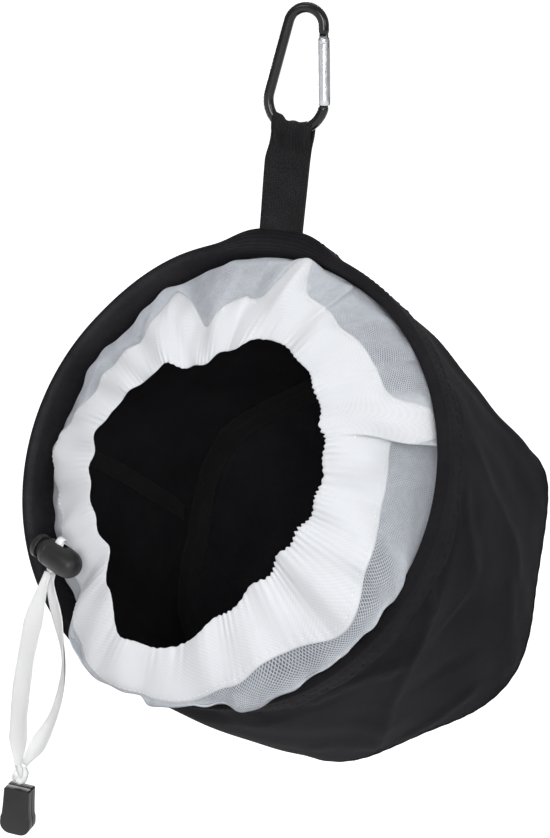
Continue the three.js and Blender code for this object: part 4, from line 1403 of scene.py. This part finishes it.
# cord lock; profiles give distance from its axis and place along it
lock = {
    "aside": 2.7, "slot": (6.6, 3.4, 30), "barrelSlot": -1.5, "plungerSlot": -3.9, "spring": 2.8,
    "springWire": 0.25, "springFrom": 2.05, "springTo": 4.95, "springTurns": 2.5, "springSeat": 5.5,
    "dome": [(0.02, 11), (2.8, 10.5), (5, 8.6), (6.2, 5.4), (6.5, 0), (6.25, -5.4)],
    "ring": [(6.3, -5.6), (6.05, -5.8), (6.05, -6.3), (6.2, -6.5), (6.0, -8.0), (5.7, -8.45), (5.4, -8.5)],
    "bore": [(4.5, -8.5), (4.3, -8.3), (4.3, 5.5), (0, 5.5)],
    "stem": [(0, 1.5), (3.8, 1.5), (4, 1.3), (4, -11.2)],
    "head": [(5.1, -11.2), (5.4, -11.5), (5.4, -13.2), (5.15, -13.7), (4.4, -14.2),
             (2.6, -14.45), (2.4, -14.3), (0, -14.3)],
}
lockAxes = np.array([lockAxis, np.cross(-lockDown, lockAxis), -lockDown])
lockOrigin = lockPlace + lock["aside"] * lockAxis


def lockPart(name, profile, facets, slotAt):
    piece = lathePiece(name, profile, facets, lockOrigin, lockAxes, blackPlastic)
    cutBox(piece, lock["slot"], lockOrigin + lockAxis * slotAt, lockAxes)
    return crisp(piece, 32)


def lockBarrel():
    dome = curveThrough(lock["dome"], 40)
    dome[0, 0] = 0
    return lockPart("lockBarrel", dome.tolist() + lock["ring"] + lock["bore"], 56, lock["barrelSlot"])


def lockSpring():
    turn = np.linspace(0, lock["springTurns"] * 2 * np.pi, 90)
    along = np.linspace(lock["springFrom"], lock["springTo"], 90)
    coil = stacked(along, lock["spring"] * np.cos(turn), lock["spring"] * np.sin(turn))
    path = lockOrigin + coil @ lockAxes
    section = roundSection(lock["springWire"], 8)
    return sweepPiece("lockSpring", path, ridingFrames(path, lockAxis), section, steelWire)


spring = lockSpring()
dress(spring, "lock", "lock_spring")
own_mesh(spring)
dress(lockBarrel(), "lock", "lock_barrel")
plunger = lockPart("lockPlunger", lock["stem"] + lock["head"], 48, lock["plungerSlot"])
dress(plunger, "plunger", "lock_plunger")
print("cord lock made")

# plain pale floor and soft studio light
studio = {
    "floor": -1500, "floorHalf": 60000, "dome": 12000, "glow": 0.8, "world": 0.48, "worldLow": 0.06,
    "inside": 0.05, "insidePlace": (10, -5, -50), "insideSize": 30,
    "lamps": {  # place and size in metres, power
        "keyLamp": ((-0.3, -1.5, 0.95), 0.7, 4.5),
        "fillLamp": ((1.3, -0.6, 0.35), 0.4, 3),
        "frontLamp": ((0.644, -1.175, 0.177), 0.5, 8.5),
        "topLamp": ((-0.2, 0.2, 1.3), 1.0, 3),
        "backLamp": ((-0.95, 1.3, 0.05), 0.8, 14),
    },
}


def palePaint():
    paint, tree, shader, place = newFinish("paleFloor")
    speck = noise(tree, place["Object"], 400, 3.0, 0.55)
    fill(tree, shader, {
        "Base Color": ramp(tree, speck, (0.95, 0.95, 0.95), (0.97, 0.97, 0.97)),
        "Roughness": 0.9,
        "Specular IOR Level": 0.0,
        "Emission Color": (1, 1, 1, 1),
        "Emission Strength": studio["glow"],
    })
    return paint


def stageFloor(paint):
    half = np.array([-studio["floorHalf"], studio["floorHalf"]])
    return gridPiece("floor", stacked(half, half[:, None], studio["floor"]), paint)


def stageDome(paint):
    # a pale sky behind everything, out of reflections and shadows
    turn = np.radians(ringAngles(72))
    rise = np.radians(np.linspace(-10, 90, 21))[:, None]
    across = np.cos(rise)
    ball = studio["dome"] * stacked(across * np.cos(turn), across * np.sin(turn), np.sin(rise))
    dome = gridPiece("backdrop", ball, paint, around=True)
    dome.visible_glossy = False
    dome.visible_shadow = False
    return dome


def softLamp(name, place, size, power):
    lamp = bpy.data.lights.new(name, "AREA")
    lamp.size = size
    lamp.energy = power
    back = unit(np.array(place) - bagCentre * mm)
    right = unit(np.cross((0, 0, 1), back))
    turn = Matrix([right.tolist(), np.cross(back, right).tolist(), back.tolist()]).transposed().to_4x4()
    addObject(name, lamp).matrix_world = Matrix.Translation(place) @ turn


def daylight():
    # bright above, dim below
    world = bpy.data.worlds.new("studio")
    bpy.context.scene.world = world
    world.use_nodes = True
    air = world.node_tree
    place = addNode(air, "ShaderNodeTexCoord", {})
    height = addNode(air, "ShaderNodeSeparateXYZ", {"Vector": place.outputs["Generated"]})
    fade = addNode(air, "ShaderNodeMapRange", {
        "Value": height.outputs["Z"], "From Min": -0.5, "From Max": 0.4,
        "To Min": studio["worldLow"], "To Max": studio["world"],
    })
    fill(air, air.nodes["Background"], {"Color": (1, 1, 1, 1), "Strength": fade.outputs["Result"]})


def insideLamp():
    # daylight that the net lets in
    glow = bpy.data.lights.new("insideLamp", "POINT")
    glow.energy = studio["inside"]
    glow.shadow_soft_size = studio["insideSize"] * mm
    lamp = addObject("insideLamp", glow)
    lamp.visible_camera = False
    lamp.location = fromBag(studio["insidePlace"]) * mm


paleFloor = palePaint()
for piece in (stageFloor(paleFloor), stageDome(paleFloor)):
    piece.visible_diffuse = False  # keeps its light off the object
daylight()
for name, lamp in studio["lamps"].items():
    softLamp(name, *lamp)
insideLamp()
bpy.context.scene.view_settings.view_transform = "Standard"
print("studio lit")
